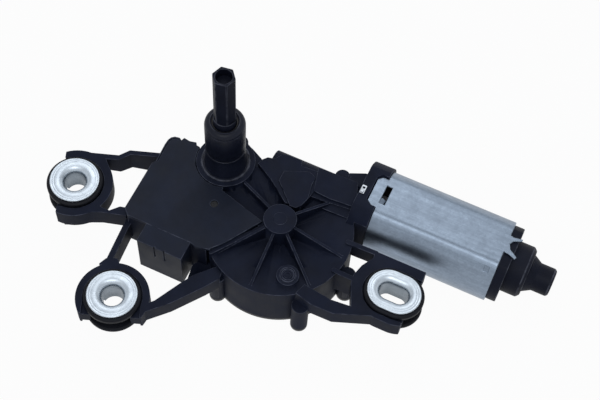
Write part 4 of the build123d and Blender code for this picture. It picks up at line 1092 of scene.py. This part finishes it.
@dataclass
class GearBody:
    """The moulded gearbox body, its lid, connector, plug, base cover and screws.

    The sizes of the plug are in millimetres. Each of its rings has a radius and a depth, and the
    dip in its middle has the radius of its mouth, the radius of its floor and a depth.
    """

    shop: Workshop
    edge: float = 0.2 * MM
    screw_edge: float = 0.12 * MM
    plug_radius: float = 4.0
    plug_round: float = 0.4
    ring_width: float = 0.5
    plug_rings: tuple[Point, ...] = ((3.3, 0.35), (2.5, 0.3), (1.6, 0.3))
    plug_dip: Corner = (0.9, 0.8, 0.3)

    def build(self) -> None:
        """Make every piece of the gearbox."""
        for node in ("gear_housing", "electronics_lid", "connector_shroud", "base_cover"):
            self.shop.soften(node, self.edge)
        self.shop.soften("lid_screw", self.screw_edge)
        self.plug()
        self.screws()

    def plug(self) -> None:
        """Turn the plug of the roof with its fine rings."""
        low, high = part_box("drum_plug")
        top, bottom, radius = high.z / MM, low.z / MM, self.plug_radius
        inner, shoulder = radius - self.plug_round, top - self.plug_round
        loop = [(0.0, bottom), (radius, bottom), (radius, shoulder)]
        loop += arc((inner, shoulder), self.plug_round, 0, 90, 3)
        for ring, depth in self.plug_rings:
            loop += groove(ring, top, self.ring_width, depth)
        mouth, floor, depth = self.plug_dip
        loop += [(mouth, top), (floor, top - depth), (0.0, top - depth)]
        piece = turned("drum_plug_turned", loop, segments=48)
        middle = (low + high) / 2
        piece.data.transform(Matrix.Translation((middle.x, middle.y, 0.0)))
        self.shop.stand_in(piece, "drum_plug")

    def screws(self) -> None:
        """Put the five equal screws in the base cover."""
        solids = solids_of(self.shop.frame["nodes"]["base_screws"])
        master = softened("base_screw", solids[0][1], self.screw_edge, 1)
        finish = self.shop.material(self.shop.slots["base_screws"])
        spots = [middle for middle, _ in solids]
        trees = self.shop.trees
        piece = trees.grown("base_screws_set", spots, trees.copies, Piece=master, Finish=finish)
        bpy.data.objects.remove(master)
        self.shop.stand_in(piece, "base_screws")


@dataclass
class Electronics:
    """The wound coils on the board."""

    shop: Workshop
    turns: float = 7.0
    wire: float = 0.28 * MM

    def build(self) -> None:
        """Wind the suppressor coils."""
        self.shop.wind("suppressor_coils", "Y", self.turns, self.wire)


@dataclass
class Motor:
    """The can with the bent tooth in its slot, its end cap, the clip on the flange, and the coils.

    Each kind of coil has its turns and the radius of its wire. The sizes of the tooth are in
    millimetres, and its place is counted from the near end, the middle and the top of the can. The
    tooth is first set askew and then leaned over, both in degrees.
    """

    shop: Workshop
    can_edge: float = 0.3 * MM
    cap_edge: float = 0.4 * MM
    small_edge: float = 0.12 * MM
    springs: Point = (5.0, 0.3 * MM)
    chokes: Point = (12.0, 0.4 * MM)
    tooth_size: Corner = (2.6, 3.6, 0.5)
    tooth_place: Corner = (6.6, -3.9, -1.3)
    tooth_lean: float = 24.0
    tooth_askew: float = -12.0

    def build(self) -> None:
        """Make every piece of the motor."""
        self.shop.soften("motor_can", self.can_edge)
        self.shop.soften("end_cap", self.cap_edge)
        self.shop.soften("earth_clip", self.small_edge)
        self.tooth()
        self.shop.wind("brush_springs", "Y", *self.springs)
        self.shop.wind("choke_coils", "X", *self.chokes)

    def tooth(self) -> None:
        """Make the small bent tooth of sheet metal in the near end of the slot."""
        low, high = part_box("motor_can")
        long, wide, thick = (size * MM for size in self.tooth_size)
        blank = box_mesh("slot_tooth", (-long / 2, -wide / 2, 0.0), (long / 2, wide / 2, thick))
        lean = Matrix.Rotation(radians(self.tooth_lean), 4, "Y")
        askew = Matrix.Rotation(radians(self.tooth_askew), 4, "Z")
        place = Vector((low.x, (low.y + high.y) / 2, high.z)) + Vector(self.tooth_place) * MM
        blank.transform(Matrix.Translation(place) @ lean @ askew)
        self.shop.place(softened("slot_tooth", blank, self.small_edge), "motor_can")


@dataclass
class Output:
    """The tower, the drive hexagon and the seal round it.

    The sizes of the tower are in millimetres. Wall, bore and foot are radii.
    """

    shop: Workshop
    hexagon_edge: float = 0.3 * MM
    seal_edge: float = 0.15 * MM
    wall: float = 9.8
    bore: float = 6.4
    foot: float = 12.1
    foot_top: float = -3.0
    foot_round: float = 0.4
    foot_chamfer: float = 0.2
    foot_groove: Corner = (0.9, 0.5, 0.25)
    wall_start: float = 0.0
    line_height: float = 10.4
    line_depth: float = 0.14
    rim: float = 2.6
    rim_step: float = 0.12

    def build(self) -> None:
        """Make the pieces of the output."""
        self.tower()
        self.shop.soften("hex_drive", self.hexagon_edge)
        self.shop.soften("spindle_seal", self.seal_edge)

    def tower(self) -> None:
        """Turn the tower with its foot, the fine line in its wall, its rim and the step inside."""
        low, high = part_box("tower_sleeve")
        bottom, top = low.z / MM, high.z / MM
        bore, wall, line = self.bore, self.wall, self.line_height
        foot, foot_top, start = self.foot, self.foot_top, self.wall_start
        chamfer, corner, shoulder = self.foot_chamfer, self.foot_round, foot_top - self.foot_round
        inset, width, depth = self.foot_groove
        loop = [(bore, bottom), (foot - chamfer, bottom), (foot, bottom + chamfer)]
        loop += [(foot, shoulder)] + arc((foot - corner, shoulder), corner, 0, 90, 4)
        loop += groove(foot - inset, foot_top, width, depth)
        loop += [(foot - 1.5, foot_top), (wall + 0.35, start - 0.9), (wall, start)]
        sunk = wall - self.line_depth
        loop += [(wall, line - 0.12), (sunk, line), (sunk, line + 0.3), (wall, line + 0.6)]
        neck, rim_start = wall - self.rim_step, top - self.rim
        loop += [(wall, rim_start - 0.5), (neck, rim_start - 0.3)]
        loop += arc((neck - self.rim, rim_start), self.rim, 0, 88, 10)
        loop += [(bore + 0.55, top), (bore + 0.4, top - 0.35), (bore, top - 0.5)]
        piece = turned("tower_turned", loop, segments=128)
        self.shop.stand_in(piece, "tower_sleeve")


@dataclass
class Eyes:
    """The three rubber mounted eyes, with the sizes of their sleeves in millimetres.

    The two kinds of sleeve have a flange, a tube and a bore, each given as a radius. A line in the
    flange has a distance from its edge, a width and a depth. The painted shade in a bore starts at
    the first depth and is full at the second.
    """

    shop: Workshop
    rubber_edge: float = 0.3 * MM
    plate: float = 1.2
    plate_round: float = 0.35
    under: float = 2.0
    length: float = 14.6
    notch: Point = (1.6, 3.2)
    lines: tuple[Corner, ...] = ((1.0, 0.5, 0.08), (2.0, 0.3, 0.04))
    shade_depths: Point = (0.8, 4.2)
    shade_reach: float = 1.6
    round_sizes: Corner = (12.0, 6.4, 5.2)
    slot_sizes: Corner = (10.2, 5.5, 4.25)
    slot_half: float = 2.8

    def build(self) -> None:
        """Make sleeves and grommets."""
        for eye in ("left", "front", "slotted"):
            self.sleeve(f"sleeve_{eye}", eye == "slotted")
            self.shop.soften(f"grommet_{eye}", self.rubber_edge)

    def sleeve(self, node: str, slotted: bool) -> None:
        """Turn a flanged sleeve with a funnel mouth and the nick of its rolled tube.

        Args:
            node: The CAD node.
            slotted: Whether it is the slotted sleeve.
        """
        flange, tube, bore = self.slot_sizes if slotted else self.round_sizes
        half = self.slot_half * MM if slotted else 0.0
        low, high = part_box(node)
        middle = (low + high) / 2
        funnel, corner = self.under + tube - bore, self.plate_round
        loop = [(flange, -corner)] + arc((flange - corner, -corner), corner, 30, 90, 3)
        for inset, width, depth in self.lines:
            loop += groove(flange - inset, 0.0, width, depth)
        loop += arc((bore + funnel, -funnel), funnel, 90, 180, 12)
        loop += [(bore, 0.3 - self.length), (bore + 0.2, -self.length), (tube - 0.2, -self.length)]
        loop += [(tube, 0.2 - self.length)]
        loop += arc((tube + self.under, -self.plate - self.under), self.under, 180, 90, 6)
        loop += [(flange - 0.25, -self.plate), (flange, 0.25 - self.plate)]
        piece = turned(node + "_turned", loop, half)
        piece.data.transform(Matrix.Translation((middle.x, middle.y, high.z)))
        self.nick(piece, low, middle, (flange - tube) * MM)
        # Painted shade in the bore, fuller from the mouth downwards.
        start, full = (high.z - depth * MM for depth in self.shade_depths)
        hollow_below(piece, (bore + self.shade_reach) * MM, middle, half, start, full)
        self.shop.stand_in(piece, node)

    def nick(self, piece: Object, low: Vector, middle: Vector, overhang: float) -> None:
        """Cut the nick at the lower end of a sleeve.

        Args:
            piece: The sleeve.
            low: The lowest corner of its box.
            middle: The middle of its box.
            overhang: How far its flange stands out beyond its tube.
        """
        width, height = (size * MM for size in self.notch)
        left, reach, below = low.x + overhang, 2 * MM, 1 * MM
        start = (left - reach, middle.y - width / 2, low.z - below)
        end = (left + reach, middle.y + width / 2, low.z + height)
        blank = box_mesh("nick", start, end)
        tool = in_scene("nick", blank)
        cut = piece.modifiers.new("nick", "BOOLEAN")
        cut.operation = "DIFFERENCE"
        cut.solver = "EXACT"
        cut.object = tool
        tidy_normals(settled(piece))
        bpy.data.objects.remove(tool)
        bpy.data.meshes.remove(blank)


# The studio


@dataclass
class Studio:
    """The floor, the lights and the camera.

    Each ring of the backdrop has a radius and a height above the floor. Each lamp has a name, a
    place, the length of its sides and its power in watts.
    """

    floor_z: float
    focal: float = 78.0
    sensor: float = 36.0
    clip_start: float = 0.01
    eye: Corner = (150.0 * MM, -287.1 * MM, 546.3 * MM)
    gaze: Corner = (-0.1721, 0.4508, -0.8759)
    level: Corner = (0.9342, 0.3567, 0.0)
    roll: float = 4.5
    fill: float = 0.66
    fill_colour: Colour = (0.94, 0.97, 1.0)
    floor_colour: Colour = (0.42, 0.43, 0.45)
    floor_rough: float = 0.9
    floor_glow: float = 0.96
    backdrop_rings: tuple[Point, ...] = ((4.0, 0.0), (5.0, 0.25), (5.2, 2.2))
    backdrop_sides: int = 64
    lamp_aim: Corner = (0.05, 0.0, 0.0)
    lamps: tuple[tuple[str, Corner, float, float], ...] = (
        ("back_softbox", (-0.35, 0.75, 1.25), 0.9, 4.0),
        ("front_softbox", (0.2, -0.66, 1.35), 0.8, 5.4),
    )

    def build(self) -> None:
        """Set up the whole studio."""
        self.camera()
        self.floor()
        self.world()
        for lamp in self.lamps:
            self.lamp(*lamp)
        bpy.context.scene.view_settings.view_transform = "Standard"

    def camera(self) -> None:
        """Place the camera where the photograph was taken from."""
        data = bpy.data.cameras.new("camera")
        data.lens = self.focal
        data.sensor_width = self.sensor
        data.clip_start = self.clip_start
        camera = in_scene("camera", data)
        gaze, level = Vector(self.gaze).normalized(), Vector(self.level).normalized()
        up = level.cross(gaze)
        tilt = radians(self.roll)
        right = level * cos(tilt) + up * sin(tilt)
        back = -gaze
        axes = Matrix((right, back.cross(right), back)).transposed()
        camera.matrix_world = Matrix.Translation(self.eye) @ axes.to_4x4()
        bpy.context.scene.camera = camera

    def floor(self) -> None:
        """Lay the pale floor, which turns up into a round backdrop far from the object."""
        mesh = bpy.data.meshes.new("floor")
        sides = self.backdrop_sides
        turns = [2 * pi * n / sides for n in range(sides)]
        rings = [(radius, self.floor_z + rise) for radius, rise in self.backdrop_rings]
        points = [(r * cos(a), r * sin(a), z) for r, z in rings for a in turns]
        faces = [tuple(range(sides))]
        for low in (0, sides):
            for n in range(sides):
                after = (n + 1) % sides
                faces.append((low + n, low + sides + n, low + sides + after, low + after))
        mesh.from_pydata(points, [], faces)
        floor = in_scene("floor", mesh)
        material = bpy.data.materials.new("pale_floor")
        material.use_nodes = True
        wire = Wiring(material.node_tree)
        shader = material.node_tree.nodes["Principled BSDF"]
        wire.feed(shader, Base_Color=(*self.floor_colour, 1.0), Roughness=self.floor_rough)
        shader.inputs["Specular IOR Level"].default_value = 0.0
        glow = wire.feed(wire.add("Emission"), Color=(1.0, 1.0, 1.0, 1.0), Strength=1.0)
        blend = wire.add("MixShader")
        share = wire.math("MULTIPLY", self.seen_rays(wire), self.floor_glow)
        for socket, value in zip(blend.inputs, (share, shader.outputs[0], glow.outputs[0])):
            wire.put(socket, value)
        wire.feed(material.node_tree.nodes["Material Output"], Surface=blend.outputs[0])
        mesh.materials.append(material)
        floor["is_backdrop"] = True

    @staticmethod
    def seen_rays(wire: Wiring) -> NodeSocket:
        """Tell the rays that the camera, a mirror or glass sees from those that only light.

        Args:
            wire: The wiring of the material.

        Returns:
            1 for the rays that are seen, and 0 for the others.
        """
        path = wire.add("LightPath").outputs
        mirrored = wire.math("MAXIMUM", path["Is Glossy Ray"], path["Is Transmission Ray"])
        return wire.math("MAXIMUM", path["Is Camera Ray"], mirrored)

    def world(self) -> None:
        """Fill the room with soft light."""
        world = bpy.data.worlds.new("studio")
        bpy.context.scene.world = world
        world.use_nodes = True
        room = world.node_tree.nodes["Background"]
        Wiring(world.node_tree).feed(room, Color=(*self.fill_colour, 1.0), Strength=self.fill)

    def lamp(self, name: str, place: Corner, size: float, power: float) -> None:
        """Hang a soft square light that looks at the part.

        Args:
            name: The name of the light.
            place: Where it hangs.
            size: The length of its sides.
            power: Its power in watts.
        """
        data = bpy.data.lights.new(name, "AREA")
        data.size = size
        data.energy = power
        light = in_scene(name, data)
        light.location = place
        ray = Vector(self.lamp_aim) - Vector(place)
        light.rotation_euler = ray.to_track_quat("-Z", "Y").to_euler()


# The whole scene


def size_of(bounds: object) -> list[list[float]]:
    """The corners of a box as plain lists.


    Returns:
        Lists of numbers.
    """
    return [[float(value) for value in corner] for corner in bounds]


def main() -> None:
    """Load the frame, dress it and set up the studio."""
    logging.basicConfig(level=logging.INFO, format="%(name)s: %(message)s")
    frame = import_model()
    packed = size_of(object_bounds())
    shop = Workshop(frame)
    shop.dress_nodes()
    for part in (GearBody(shop), Electronics(shop), Motor(shop), Output(shop), Eyes(shop)):
        part.build()
        LOG.info("%s is dressed", type(part).__name__)
    Studio(floor_z=packed[0][2]).build()


if __name__ == "__main__":
    main()
